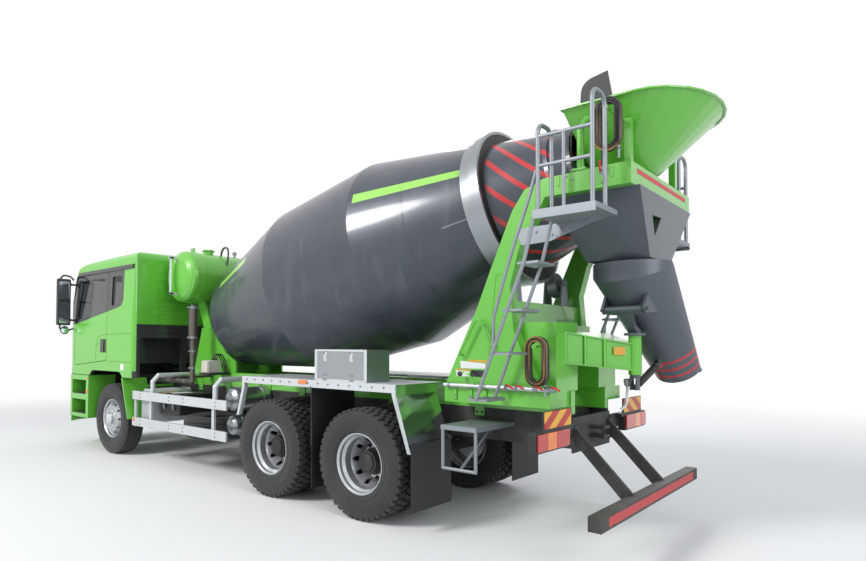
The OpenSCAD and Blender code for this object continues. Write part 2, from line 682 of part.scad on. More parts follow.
module rear_fenders() color(white_grey) from_axle() both_sides() {
    block([fender_rear, 500, deck_z - 12], [fender_front, fender_y, deck_z]);
    block([fender_rear, fender_y - 12, deck_z - 78], [fender_front, fender_y, deck_z - 11]);
    xz(fender_y - 50, fender_y) polygon([[fender_front, deck_z - 10], [fender_front - 45, deck_z - 10],
        [fender_front - 45, 1200], [fender_front + 60, 870], [fender_front + 100, 870],
            [fender_front, 1200]]);
    xz(panel_y, fender_y) polygon([[fender_rear, deck_z - 5], [fender_rear + 12, deck_z - 5],
        [fender_rear + 12, 1230], [flap_x + 12, panel_low], [flap_x, panel_low], [fender_rear, 1232]]);
    xz(fender_y - 1, fender_y + 3) polygon([[fender_rear, deck_z - 5], [fender_rear + 50, deck_z - 5],
        [fender_rear + 50, 1230], [flap_x + 40, panel_low], [flap_x, panel_low], [fender_rear, 1232]]);
    for (x = [fender_front - 90, trunnion_x, fender_rear + 60])
        block([x - 30, rail_y, deck_z - 62], [x + 30, 1150, deck_z - 12]);
    block([trunnion_x - 6, 560, 640], [trunnion_x + 6, fender_y - 14, deck_z - 62]);
}
module mud_flaps() color(rubber_black) from_axle() both_sides() {
    block([flap_x - 6, 600, 186], [flap_x, fender_y, 800]);
    block([trunnion_x - 13, 600, 200], [trunnion_x - 6.3, fender_y - 16, 900]);
}
box_x0 = rear_axle - 85;
box_x1 = rear_axle + 645;
box_y0 = 860;
box_y1 = 1200;
box_h = 320;
box_wall = 15;
flap_t = 25;
flap_pin_r = 5;
module toolbox() color(steel_grey) from_axle() difference() {
    block([box_x0, box_y0, deck_z], [box_x1, box_y1, deck_z + box_h]);
    block([box_x0 + box_wall, box_y0 + box_wall, deck_z + box_wall],
        [box_x1 - box_wall, box_y1 + 1, deck_z + box_h - box_wall]);
    flap_axis() rod_x(flap_pin_r + play, box_x0 + 3, box_x1 - 3);
}
module flap_axis() translate([0, box_y1 - flap_t / 2, deck_z + box_wall + door_gap + flap_t / 2]) children();
module toolbox_flap() color(steel_grey) from_axle() {
    block([box_x0 + box_wall + door_gap, box_y1 - flap_t, deck_z + box_wall + door_gap],
        [box_x1 - box_wall - door_gap, box_y1, deck_z + box_h - box_wall - door_gap]);
    flap_axis() rod_x(flap_pin_r, box_x0 + 4, box_x1 - 4);
}

// Mixer subframe on the chassis rails
subframe_front = -1130;
support_t = 30;
tower_h = 650;
tower_side = [[-715, 0], [-715, 150], [-465, 280], [-125, tower_h], [145, tower_h], [345, 0]];
module subframe() color(green) from_axle() {
    both_sides() {
        block([rail_rear, rail_y - rail_flange, rail_top], [subframe_front, rail_y, sub_top]);
        xz(rail_y - support_t, rail_y) translate([drive_x, sub_top]) polygon(tower_side);
    }
    for (x = [-2300, -3300, trunnion_x, -5700])
        block([x - 50, rail_flange - rail_y, rail_top + 30], [x + 50, rail_y - rail_flange, sub_top - 20]);
    block([drive_x - 145, support_t - rail_y, rail_top + 30], [drive_x + 205, rail_y - support_t, saddle_z]);
}

// Drum, drawn along its own axis: z runs rearward and up, x points up and forward
mouth_s = drum_mid_l + drum_rear_l;
drum_x = mouth_s * cos(drum_tilt) - mouth_back;
drum_z = mouth_z - mouth_s * sin(drum_tilt);
module on_drum_axis() translate([drum_x, 0, drum_z]) rotate([0, drum_tilt - 90, 0]) children();
module at_drum() from_axle() on_drum_axis() children();
drum_r = drum_d / 2;
head_r = head_d / 2;
mouth_r = mouth_d / 2;
apex_s = -drum_front_l - head_depth;
ring_s = mouth_s - ring_set;
ring_flange_l = 109;
split_s = ring_s - ring_flange_l - 26;
function cone_r(s) = drum_r - (drum_r - mouth_r) * (s - drum_mid_l) / drum_rear_l;
head_steps = 8;
function head_arc(t) = [for (i = [0:head_steps]) let (a = 90 * i / head_steps)
    [(head_r - t) * sin(a), -drum_front_l - (head_depth - t) * cos(a)]];
function shell_side(t) = concat(head_arc(t),
    [[drum_r - t, 0], [drum_r - t, drum_mid_l], [cone_r(split_s) - t, split_s]]);
function backwards(p) = [for (i = [len(p) - 1:-1:0]) p[i]];
spigot_r = 70;
gearbox_front = apex_s - 330;
gearbox_rear = apex_s - 60;
gearbox_r = 270;
gearbox_mid = (gearbox_front + gearbox_rear) / 2;
drive_x = drum_x - gearbox_mid * cos(drum_tilt);
drive_z = drum_z + gearbox_mid * sin(drum_tilt);
saddle_z = drive_z - 418;
module drum_shell() color(drum_grey) at_drum() {
    rotate_extrude() polygon(concat(shell_side(0), backwards(shell_side(drum_wall))));
    translate([0, 0, apex_s - 50]) cylinder(r = 170, h = 62);
    translate([0, 0, apex_s - 170]) cylinder(r = spigot_r, h = 130);
}
collar_l = 50;
function mouth_side(t) = [[cone_r(split_s) - t, split_s], [mouth_r - t, mouth_s],
    [mouth_r - t, mouth_s + collar_l]];
module drum_mouth() color(drum_grey) at_drum() {
    rotate_extrude() {
        polygon(concat(mouth_side(0), backwards(mouth_side(drum_wall))));
        for (s = [mouth_s - 190, mouth_s]) translate([cone_r(min(s + 40, mouth_s)) - 2, s]) square([30, 40]);
    }
}
ring_r = ring_d / 2;
module track_ring() color(frame_black) at_drum() rotate_extrude() polygon([
    [cone_r(ring_s - ring_flange_l) + seat, ring_s - ring_flange_l], [ring_r - 22, ring_s - ring_flange_l],
        [ring_r - 22, ring_s],
    [ring_r, ring_s], [ring_r, ring_s + ring_w], [cone_r(ring_s + ring_w) + seat, ring_s + ring_w]]);
module drum_drive() color(frame_black) from_axle() {
    difference() {
        union() {
            on_drum_axis() {
                translate([0, 0, gearbox_front]) cylinder(r = gearbox_r, h = gearbox_rear - gearbox_front);
                translate([0, 0, gearbox_front - 180]) cylinder(r = 105, h = 181);
            }
            block([drive_x - 105, -220, saddle_z], [drive_x + 165, 220, drive_z - 218]);
        }
        on_drum_axis() translate([0, 0, apex_s - 180]) cylinder(r = spigot_r + play, h = 140);
    }
}
// Rollers under the track ring
roller_r = 125;
roller_s = ring_s + ring_w / 2;
roller_y = 503;
roller_drop = sqrt(pow(ring_r + roller_r + 2, 2) - pow(roller_y, 2));
roller_w = 90;
roller_x = drum_x - roller_s * cos(drum_tilt) - roller_drop * sin(drum_tilt);
roller_z = drum_z + roller_s * sin(drum_tilt) - roller_drop * cos(drum_tilt);
roller_beam_top = 2100;
module drum_rollers() color(steel_grey) {
    at_drum() both_sides() translate([-roller_drop, roller_y, roller_s]) {
        translate([0, 0, -roller_w / 2]) cylinder(r = roller_r, h = roller_w);
        translate([0, 0, -110]) cylinder(r = 38, h = 220);
    }
    from_axle() both_sides() for (x = [roller_x - 102, roller_x + 78])
        yz(x, x + 24) polygon([[roller_y - 90, roller_beam_top], [roller_y + 90, roller_beam_top],
            [roller_y + 50, roller_z + 45], [roller_y - 50, roller_z + 45]]);
}

// Water tank behind the cab, lying across the truck
tank_x = -1270;
tank_z = 2700;
tank_r = water_tank_d / 2;
tank_half = water_tank_l / 2;
dome = 150;
function dome_arc(n) = [for (i = [0:n]) [tank_r * cos(90 * i / n), tank_half + dome * sin(90 * i / n)]];
module water_tank() color(green) from_axle() {
    translate([tank_x, 0, tank_z]) {
        turn_y() polygon(concat([[0, 0]], [[tank_r, 0]], dome_arc(6)));
        mirror([0, 1, 0]) turn_y() polygon(concat([[0, 0]], [[tank_r, 0]], dome_arc(6)));
        for (y = [-tank_half + 120, tank_half - 120]) {
            turn_y() translate([tank_r - 2, y - 30]) square([8, 60]);
            block([-45, y - 30, tank_r - 5], [45, y - 15, tank_r + 60]);
        }
    }
    both_sides() xz(rail_y - support_t, rail_y)
        polygon([[drive_x - 105, sub_top + tower_h], [drive_x + 95, sub_top + tower_h],
        [tank_x + 80, tank_z - tank_r + 90], [tank_x - 100, tank_z - tank_r + 90]]);
}
stack_x = -1620;
stack_y = 750;
module exhaust() color(steel_grey) from_axle() {
    translate([stack_x, stack_y, 1785]) cylinder(r = 60, h = 455);
    translate([stack_x, stack_y, 1290]) cylinder(r = 37, h = 980);
    bent_tube([[stack_x, stack_y, 1300], [stack_x, stack_y, 1165], [-620, stack_y, 1165]], 37);
    block([stack_x - 30, rail_y, 1220], [stack_x + 30, stack_y - 30, 1250]);
}

// Rear pedestal that carries the rollers, the hoppers and the platforms
leg_y = pedestal_w / 2;
leg_t = 120;
arm_bottom = 2949;
pedestal_rear = -7765;
leg_side = [[-6040, sub_top - 130], [-6040, sub_top + 16], [-6397, 2046], [-6537, 2384], [-6748, 2871],
    [-6867, 3040],
    [-7044, pedestal_top - 17], [pedestal_rear, pedestal_top], [pedestal_rear, arm_bottom],
        [-7059, arm_bottom],
    [-6812, 2528], [-6728, 2218], [-6762, 1833], [-6990, sub_top], [-7100, sub_top], [-7100, sub_top - 130]];
box_half = leg_y - leg_t;
groove = [[-6510, 1540, 35], [-6590, 2330, 35], [-6670, 2330, 35], [-6640, 1540, 35]];
coil_r = 62;
coil_leg = 110;
coil_t = 38;
hook_r = 10;
low_coil = [-7000, 832, 1565];
high_coil = [-7610, 840, 3420];
// A hook's height over the middle of the coil that hangs on it
hook_up = coil_leg + coil_r - coil_t - hook_r - seat;
module coil_hook(c, y0) translate([c[0], 0, c[2] + hook_up]) {
    rod_y(hook_r, y0, c[1] + coil_t + 12);
    rod_y(2 * hook_r, c[1] + coil_t + 11, c[1] + coil_t + 18);
}
module rear_pedestal() color(green) from_axle() {
    both_sides() {
        difference() {
            xz(box_half, leg_y) polygon(leg_side);
            xz(leg_y - 4, leg_y + 1) polygon(rounded(groove));
        }
        block([-7100, rail_y, sub_top - 130], [-6040, box_half + 1, sub_top]);
    }
    block([-7100, 240, sub_top], [-6750, box_half + 1, 1900]);
    block([-7100, -box_half - 1, sub_top], [-6750, -240, 1600]);
    block([-6840, -box_half - 1, sub_top], [-6780, box_half + 1, 1900]);
    block([roller_x - 165, -box_half - 1, 1880], [roller_x + 115, box_half + 1, roller_beam_top]);
    block([pedestal_rear, -box_half - 1, arm_bottom], [pedestal_rear + 60, box_half + 1, pedestal_top]);
    coil_hook(low_coil, box_half);
}
module half_loop() translate([0, 0, coil_leg]) intersection() {
    turn_y() translate([coil_r, 0]) circle(r = coil_t);
    block([-200, -60, 0], [200, 60, 200]);
}
module coil() {
    half_loop();
    mirror([0, 0, 1]) half_loop();
    for (x = [-coil_r, coil_r]) translate([x, 0, -coil_leg]) cylinder(r = coil_t, h = 2 * coil_leg);
}
module hose_coils() color(rubber_black) from_axle() for (c = [low_coil, high_coil]) translate(c) coil();

rim_x0 = -7170;
rim_x1 = -7750;
rim_bow = rear_reach + rim_x1;
module rim_2d(g) {
    translate([rim_x1, g - hopper_w / 2]) square([rim_x0 - rim_x1 - g, hopper_w - 2 * g]);
    translate([rim_x1, 0]) rim_end(g);
}
module rim_end(g) polygon([for (i = [0:12]) let (a = 90 + 15 * i)
    [(rim_bow - g) * cos(a), (hopper_w / 2 - g) * sin(a)]]);
throat_x = -7435;
throat_z = 3150;
module funnel(g) hull() {
    translate([0, 0, hopper_rim_z - 2 + (g > 0 ? 4 : 0)]) linear_extrude(2) rim_2d(g);
    translate([throat_x, 0, throat_z - (g > 0 ? 2 : 0)]) linear_extrude(2) throat_2d(g);
}
module throat_2d(g) polygon([for (i = [0:23]) [(215 - g) * cos(15 * i), (270 - g) * sin(15 * i)]]);
lip_w = 14;
strut_x = -7340;
strut_y = 725;
// Half of the funnel's width at a height
function funnel_half(z) = 270 + (hopper_w / 2 - 270) * (z - throat_z) / (hopper_rim_z - throat_z);
module charging_hopper() color(green) from_axle() {
    difference() {
        union() {
            funnel(0);
            tube([-7430, 0, 3330], [-6950, 0, 3230], 200);
        }
        funnel(10);
        tube([-7440, 0, 3332], [-6900, 0, 3219], 190);
    }
    translate([0, 0, hopper_rim_z - 14]) linear_extrude(14) difference() {
        rim_2d(-lip_w);
        rim_2d(4);
    }
    both_sides() {
        bent_tube([[strut_x, strut_y, pedestal_top + 10], [strut_x, strut_y, 3480],
            [strut_x - 30, strut_y - 60, 3570],
            [strut_x - 60, funnel_half(3585) - 8, 3585]], 28);
        block([strut_x - 60, strut_y - 50, pedestal_top + seat],
            [strut_x + 60, strut_y + 50, pedestal_top + 22]);
    }
    coil_hook(high_coil, funnel_half(high_coil[2] + hook_up) - 6);
    both_sides() block([pedestal_rear + 60, 560, pedestal_top - 90], [pedestal_rear + 115, 610, 3520]);
}
module discharge_side(g) polygon([[-7800 + g, arm_bottom + g], [-7060 - g, arm_bottom + g],
    [-7200 - g, 2440 - g], [-7740 + g, 2440 - g]]);
module discharge_front(g) both_2d()
    polygon([[0, 2440 - g], [280 - g, 2440 - g], [700 - g, arm_bottom + g], [0, arm_bottom + g]]);
module discharge_hopper() color(drum_grey) difference() {
    from_axle() difference() {
        intersection() {
            xz(-720, 720) discharge_side(0);
            yz(-7820, -7040) discharge_front(0);
        }
        intersection() {
            xz(-720, 720) discharge_side(8);
            yz(-7820, -7040) discharge_front(8);
        }
        yz(-7900, -7600) polygon([[340, 2770], [110, 2780], [220, 2610]]);
    }
    at_drum() translate([0, 0, 3000]) cylinder(r = mouth_r + 70, h = mouth_s + collar_l + 40 - 3000);
}

// Guard that stands on the hopper's left rim
splash_h = 215;
module splash_plate() color(drum_grey) from_axle()
    xz(hopper_w / 2 - 8, hopper_w / 2) translate([rim_x0 - 160, hopper_rim_z + seat])
        polygon(rounded([[0, 0, 0],
        [-10, splash_h - 40, 110], [-225, splash_h, 0], [-262, 0, 0]]));

// Ladder and platforms
platform_x0 = -7160;
platform_x1 = -7660;
platform_y = 1220;
rail_r = 17;
post_in = 960;
post_out = platform_y - 20;
front_post_top = 3430;
rear_post_top = 3600;
bend_r = 90;
// Quarter of a ring in a plane across the truck, on its left or right half
module elbow(x, y, z, side) translate([x, y, z]) intersection() {
    rotate([0, 90, 0]) rotate_extrude($fn = 48) translate([bend_r, 0]) circle(r = rail_r, $fn = 24);
    block([-rail_r - 1, min(0, side * 120), 0], [rail_r + 1, max(0, side * 120), 120]);
}
module hoop(x, top) {
    for (y = [post_in, post_out]) tube([x, y, platform_z - 5], [x, y, top - bend_r], rail_r, $fn = 24);
    tube([x, post_in + bend_r, top], [x, post_out - bend_r, top], rail_r, $fn = 24);
    elbow(x, post_in + bend_r, top - bend_r, -1);
    elbow(x, post_out - bend_r, top - bend_r, 1);
}
module platform_frame() {
    xz(leg_y, leg_y + 10) polygon([[-6790, 2690], [-6850, 2560], [-7110, 2570], [-7450, 2680],
        [-7600, platform_z - 40],
        [-6880, platform_z - 40]]);
    block([platform_x1, leg_y, platform_z - 41], [platform_x0, platform_y, platform_z]);
    block([platform_x1, platform_y - 8, platform_z - 70], [platform_x0, platform_y, platform_z - 40]);
    hoop(platform_x0 - 40, front_post_top);
    hoop(platform_x1 + 30, rear_post_top);
    for (z = [3090, front_post_top - 110])
        tube([platform_x0 - 40, post_out, z], [platform_x1 + 30, post_out, z], rail_r - 2);
    tube([-7410, post_out, platform_z - 5], [-7410, post_out, front_post_top - 110], rail_r - 3);
}
ladder_line = [[-7180, 2760], [-7080, 2360], [-6800, 1650], [-6640, 1240]];
ladder_steps = [[-7110, 2360], [-6970, 1990], [-6860, 1640], [-6650, 1250]];
step_y0 = leg_y + 110;
step_y1 = leg_y + 410;
module ladder() {
    for (y = [step_y0, step_y1]) bent_tube([for (p = ladder_line) [p[0], y, p[1]]], 15);
    for (p = ladder_steps) block([p[0] - 90, step_y0, p[1] - 20], [p[0] + 90, step_y1, p[1]]);
    for (p = [ladder_steps[1], ladder_steps[3]])
        block([p[0] - 20, leg_y, p[1] - 20], [p[0] + 20, step_y0 + 1, p[1]]);
}
module side_step() {
    block([-6570, rail_y, 950], [-6200, 1085, 990]);
    bent_tube([[-6215, 1070, 960], [-6215, 1070, 610], [-6555, 1070, 610], [-6555, 1070, 960]], 15);
    tube([-6400, 1060, 620], [-6400, 520, 960], 12);
}
module ladder_platforms() color(steel_grey) from_axle() {
    both_sides() {
        platform_frame();
        ladder();
    }
    side_step();
}

// Swinging chute. The post stands under the outlet, so that the chute's top stays there as it swings.
post_x = -7520;
post_r = 30;
sleeve_r = 55;
sleeve_low = 1445;
sleeve_top = 1790;
arm_half = 500;
arm_t = 12;
module arm_side_2d() polygon([[-7100, 1822], [post_x, 1720], [post_x, 1480], [-7100, 1540]]);
module arm_plan_2d(g) polygon([[-7100, arm_half - g], [-7100, g - arm_half], [post_x, g - sleeve_r],
    [post_x, sleeve_r - g]]);
module chute_arm() color(green) from_axle() difference() {
    union() {
        intersection() {
            xy(1400, 1900) arm_plan_2d(25);
            xz(-arm_half, arm_half) arm_side_2d();
        }
        intersection() {
            xy(1400, 1900) arm_plan_2d(0);
            xz(-arm_half, arm_half) difference() {
                arm_side_2d();
                polygon([[-7040, 1836 - arm_t], [post_x - 60, 1705 - arm_t], [post_x - 60, 1472 + arm_t],
                    [-7040, 1548 + arm_t]]);
            }
        }
        for (x = [-7112, -7230, -7350]) intersection() {
            block([x, -arm_half, 1400], [x + 12, arm_half, 1900]);
            xy(1400, 1900) arm_plan_2d(0);
            xz(-arm_half, arm_half) arm_side_2d();
        }
        translate([post_x, 0, sleeve_low]) cylinder(r = sleeve_r, h = sleeve_top - sleeve_low);
    }
    translate([post_x, 0, sleeve_low - 50]) cylinder(r = post_r + play, h = 500);
}
module at_post() from_axle() translate([post_x, 0, 0]) rotate([0, 0, -chute_turn]) children();
chute_top_y = 10;
chute_top_z = 2408;
chute_rim_z = 2420;
chute_wall = 8;
module at_chute() at_post() in_chute_frame() children();
module in_chute_frame() translate([0, chute_top_y, chute_top_z]) rotate([90 + chute_hang, 0, 0]) children();
// Places in the chute's own frame are [across its opening, along it]
down = [0, -cos(chute_hang), -sin(chute_hang)];
open = [0, -sin(chute_hang), cos(chute_hang)];
function from_chute(p) = [0, chute_top_y, chute_top_z] + open * p[0] + down * p[1];
function chute_r(l) = chute_r_top + (chute_r_end - chute_r_top) * l / chute_l;
// How deep the chute's outside lies at a place across and along it
function deep(x, l) = sqrt(pow(chute_r(l), 2) - x * x);
hinge_along = 200;
hinge_out = 45;
hinge_at = [-chute_r(hinge_along) - hinge_out, hinge_along];
hinge_p = from_chute(hinge_at);
head_r2 = 32;
head_half = 170;
tilt_pin_r = 15;
stem_z = sleeve_top + 22;
stem_l = norm([hinge_p[1], hinge_p[2] - stem_z]);
stem_lean = atan2(hinge_p[1], hinge_p[2] - stem_z);
collar_low = 1425;
jack_z = 1335;
pin_r = 12;
module chute_swivel() color(drum_grey) at_post() {
    translate([0, 0, collar_low - 10]) cylinder(r = post_r, h = sleeve_top - collar_low + 30);
    translate([0, 0, sleeve_top + seat]) cylinder(r = 90, h = 22);
    translate([0, 0, stem_z]) rotate([-stem_lean, 0, 0]) xz(-25, 25) both_2d()
        polygon([[0, 0], [50, 0], [32, 80],
        [60, stem_l - 45], [head_half - 8, stem_l - 35], [head_half - 8, stem_l], [0, stem_l]]);
    translate(hinge_p) rod_x(head_r2, -head_half, head_half);
    translate(hinge_p) rod_x(tilt_pin_r, -lug_x1 - 20, lug_x1 + 20);
    translate([0, 0, collar_low]) cylinder(r = 45, h = sleeve_low - seat - collar_low);
    for (s = [0, 1]) mirror([s, 0, 0]) block([22, -20, jack_z - 25], [34, 35, collar_low + 2]);
    translate([0, 0, jack_z]) rod_x(pin_r, -36, 36);
}
// The chute is a cone that an upright wall rounds off at its top
module chute_solid(t) intersection() {
    in_chute_frame() translate([0, 0, -420])
        cylinder(r1 = chute_r(-420) - t,
            r2 = chute_r_end - t + (t > 0 ? (chute_r_end - chute_r_top) / chute_l : 0),
            h = chute_l + 420 + (t > 0 ? 1 : 0));
    xy(1000, chute_rim_z + t) {
        circle(r = chute_r_top - 4 - t);
        translate([t + 4 - chute_r_top, -2000]) square([2 * (chute_r_top - 4 - t), 2000]);
    }
}
lug_x0 = 180;
lug_x1 = 205;
lug_along = 920;
eye_out = 40;
rod_eye = [-chute_r(lug_along) - eye_out, lug_along];
fold_y = 4;
fold_z = chute_l + 12;
fold_r = 8;
lid_gap = 8;
ext_w = chute_r_end - 25;
module chute() color(drum_grey) {
    at_post() difference() {
        chute_solid(0);
        chute_solid(chute_wall);
        in_chute_frame() block([-chute_r_top * 2, 0, -600], [chute_r_top * 2, 800, chute_l + 10]);
    }
    at_chute() {
        for (s = [0, 1]) mirror([s, 0, 0]) {
            difference() {
                yz(lug_x0, lug_x1) polygon([hinge_at + [-28, -28], hinge_at + [-28, 28],
                    [4 - deep(lug_x1, hinge_along + 140), hinge_along + 140],
                    [4 - deep(lug_x1, hinge_along - 90), hinge_along - 90]]);
                translate([0, hinge_at[0], hinge_at[1]]) rod_x(tilt_pin_r + play, lug_x0 - 10, lug_x1 + 40);
            }
            yz(20, 32) polygon([rod_eye + [-20, -20], rod_eye + [-20, 20],
                [4 - deep(32, lug_along + 50), lug_along + 50],
                    [4 - deep(32, lug_along - 50), lug_along - 50]]);
            yz(ext_w + 8, chute_r_end - 2) polygon([[-40, chute_l - 60], [2, chute_l - 60], [2, chute_l - 8],
                [fold_y + 10, chute_l - 4], [fold_y + 10, chute_l + 24], [-20, chute_l + 24]]);
            translate([0, fold_y, fold_z]) rod_x(fold_r, ext_w - 14, ext_w + 9);
        }
        translate([0, rod_eye[0], rod_eye[1]]) rod_x(pin_r, -33, 33);
    }
}
ext_l = 950;
ext_r = chute_r_end + 30;
ext_depth = 120;
ext_mid = lid_gap - ext_r + ext_depth;
module chute_extension() color(drum_grey) at_chute() {
    difference() {
        translate([0, ext_mid, chute_l - ext_l]) cylinder(r = ext_r, h = ext_l - 12);
        translate([0, ext_mid, chute_l - ext_l - 1]) cylinder(r = ext_r - chute_wall, h = ext_l);
        block([-400, -600, 0], [400, lid_gap, chute_l + 50]);
    }
    for (s = [0, 1]) mirror([s, 0, 0]) difference() {
        block([ext_w - 12, fold_y - 9, chute_l - 70], [ext_w, lid_gap + 32, chute_l + 22]);
        translate([0, fold_y, fold_z]) rod_x(fold_r + play, ext_w - 20, ext_w + 20);
    }
}
// Jack between the swivel and the chute
eye_p = from_chute(rod_eye);
jack_v = eye_p - [0, 0, jack_z];
jack_len = norm(jack_v);
jack_a = atan2(jack_v[2], -jack_v[1]);
module at_jack() at_post() translate([0, 0, jack_z]) rotate([90 - jack_a, 0, 0]) children();
barrel_low = 64;
barrel_r = 32;
rod_r = 18;
module jack_barrel() color(frame_black) at_jack() difference() {
    union() {
        rod_x(25, -20, 20);
        translate([0, 0, 18]) cylinder(r = rod_r, h = 50);
        translate([0, 0, barrel_low]) cylinder(r = barrel_r, h = jack_len - 34 - barrel_low);
    }
    rod_x(pin_r + play, -30, 30);
    translate([0, 0, barrel_low + 6]) cylinder(r = rod_r + play, h = jack_len);
}
module jack_rod() color(silver) at_jack() difference() {
    union() {
        translate([0, 0, barrel_low + 8]) cylinder(r = rod_r, h = jack_len - barrel_low - 28);
        translate([0, 0, jack_len]) rod_x(28, -18, 18);
    }
    translate([0, 0, jack_len]) rod_x(pin_r + 4, -30, 30);
}

// Lamps, underrun guard and the water pipe
module lamps() color([0.6, 0.1, 0.08]) from_axle() both_sides() {
    block([-7200, 600, 1020], [-7190, 1120, 1180]);
    block([-7200, 650, 860], [-7130, 1240, 1021]);
    block([-7200, 560, 1000], [-7121, 1120, 1035]);
    block([-7140, rail_y, 900], [-7121, 660, 1035]);
    block([cab_front - 100, headlamp_y[0] + seat, headlamp_z[0] + seat],
        [cab_front - 20, headlamp_y[1] - seat, headlamp_z[1] - seat]);
}
module underrun_guard() color(frame_black) from_axle() {
    block([-7700, -half_w, 365], [-7600, half_w, 475]);
    both_sides() block([-7150, rail_y - 60, 810], [rail_rear - 12.3, rail_y, 1000]);
    both_sides() xz(rail_y - 50, rail_y - 15)
        polygon([[-7132.3, 1000], [-7132.3, 860], [-7600, 366], [-7640, 474]]);
}
module water_pipes() color(white_grey) from_axle() {
    tube([-6060, 830, 1330], [-7150, 830, 1330], 18);
    for (x = [-6120, -6500, -7000]) block([x - 12, leg_y, 1318], [x + 12, 832, 1342 - 12]);
}

chassis_frame();
leaf_springs();
front_axle();
rear_axles();
driveline();
front_bumper();
side_guards();
air_tanks();
battery_box();
fuel_tank();
spare_wheel();
rear_fenders();
mud_flaps();
toolbox();
toolbox_flap();
subframe();
drum_drive();
drum_rollers();
water_tank();
exhaust();
rear_pedestal();
charging_hopper();
discharge_hopper();
ladder_platforms();
chute_arm();
lamps();
underrun_guard();
water_pipes();
splash_plate();
hose_coils();
cab_shell();
cab_glass();
cab_trim();
cab_interior();
door_left();
door_right();
door_glass_left();
door_glass_right();
knuckle_left();
knuckle_right();
tyre_front_left();
tyre_front_right();
tyres_mid_left();
tyres_mid_right();
tyres_rear_left();
tyres_rear_right();
rim_front_left();
rim_front_right();
rims_mid_left();
rims_mid_right();
rims_rear_left();
rims_rear_right();
drum_shell();
drum_mouth();
track_ring();
chute_swivel();
chute();
chute_extension();
jack_barrel();
jack_rod();
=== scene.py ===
"""Concrete mixer truck: finishes, treads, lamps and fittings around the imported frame."""

import math

import bpy
from mathutils import Matrix, Vector


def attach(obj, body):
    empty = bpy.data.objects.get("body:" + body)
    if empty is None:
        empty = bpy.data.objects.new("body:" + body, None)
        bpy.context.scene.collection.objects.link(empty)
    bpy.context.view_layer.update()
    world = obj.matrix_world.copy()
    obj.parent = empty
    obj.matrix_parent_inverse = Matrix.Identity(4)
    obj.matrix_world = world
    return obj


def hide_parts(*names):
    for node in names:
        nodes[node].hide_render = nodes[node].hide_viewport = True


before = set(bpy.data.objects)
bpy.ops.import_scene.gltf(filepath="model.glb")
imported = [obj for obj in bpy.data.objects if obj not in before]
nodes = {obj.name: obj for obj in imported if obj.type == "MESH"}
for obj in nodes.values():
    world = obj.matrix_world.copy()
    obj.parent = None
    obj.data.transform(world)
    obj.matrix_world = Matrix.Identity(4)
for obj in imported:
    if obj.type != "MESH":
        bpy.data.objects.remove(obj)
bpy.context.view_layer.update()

# The front axle's place along the truck. Measures below are in metres from it.
AXLE = 3.36
SIDES = {"left": 1, "right": -1}
UP, OUTWARD, AHEAD, BACK = (0, 0, 1), (0, 1, 0), (1, 0, 0), (-1, 0, 0)


def at(x, y, z):
    """A point given from the front axle, in the row frame."""
    return Vector((x + AXLE, y, z))


def both(*stems):
    """Each name with the left and the right side added."""
    return [f"{stem}_{side}" for stem in stems for side in SIDES]


def srgb(red, green, blue):
    """A linear colour from the 0 to 255 numbers of a paint chart."""
    def linear(v):
        v /= 255
        return v / 12.92 if v <= 0.04045 else ((v + 0.055) / 1.055) ** 2.4
    return (linear(red), linear(green), linear(blue), 1.0)


def shade(colour, part):
    """A darker form of a colour."""
    return tuple(c * part for c in colour[:3]) + (1.0,)


# Shader maths

class Value:
    """A socket in a finish. Arithmetic on it adds Math nodes."""

    def __init__(self, finish, socket):
        self.finish = finish
        self.socket = socket

    def _math(self, operation, *terms):
        return self.finish.node("Math", {"operation": operation}, dict(enumerate(terms)))

    def __abs__(self):
        return self._math("ABSOLUTE", self)

    def most(self, other):
        """The larger of the two."""
        return self._math("MAXIMUM", self, other)

    def rise(self, low, high):
        """0 below low, 1 above high, smooth between them. low may be the larger."""
        return self.finish.node(
            "MapRange", {"interpolation_type": "SMOOTHSTEP"},
            {"Value": self, "From Min": low, "From Max": high})

    def within(self, low, high, soft):
        """1 between low and high, with edges that soft wide."""
        return self.rise(low - soft, low) * self.rise(high + soft, high)


for sign, operation in (("add", "ADD"), ("sub", "SUBTRACT"), ("mul", "MULTIPLY"), ("truediv", "DIVIDE"),
                        ("mod", "FLOORED_MODULO"), ("pow", "POWER")):
    setattr(Value, f"__{sign}__", lambda a, b, name=operation: a._math(name, a, b))
    setattr(Value, f"__r{sign}__", lambda a, b, name=operation: a._math(name, b, a))


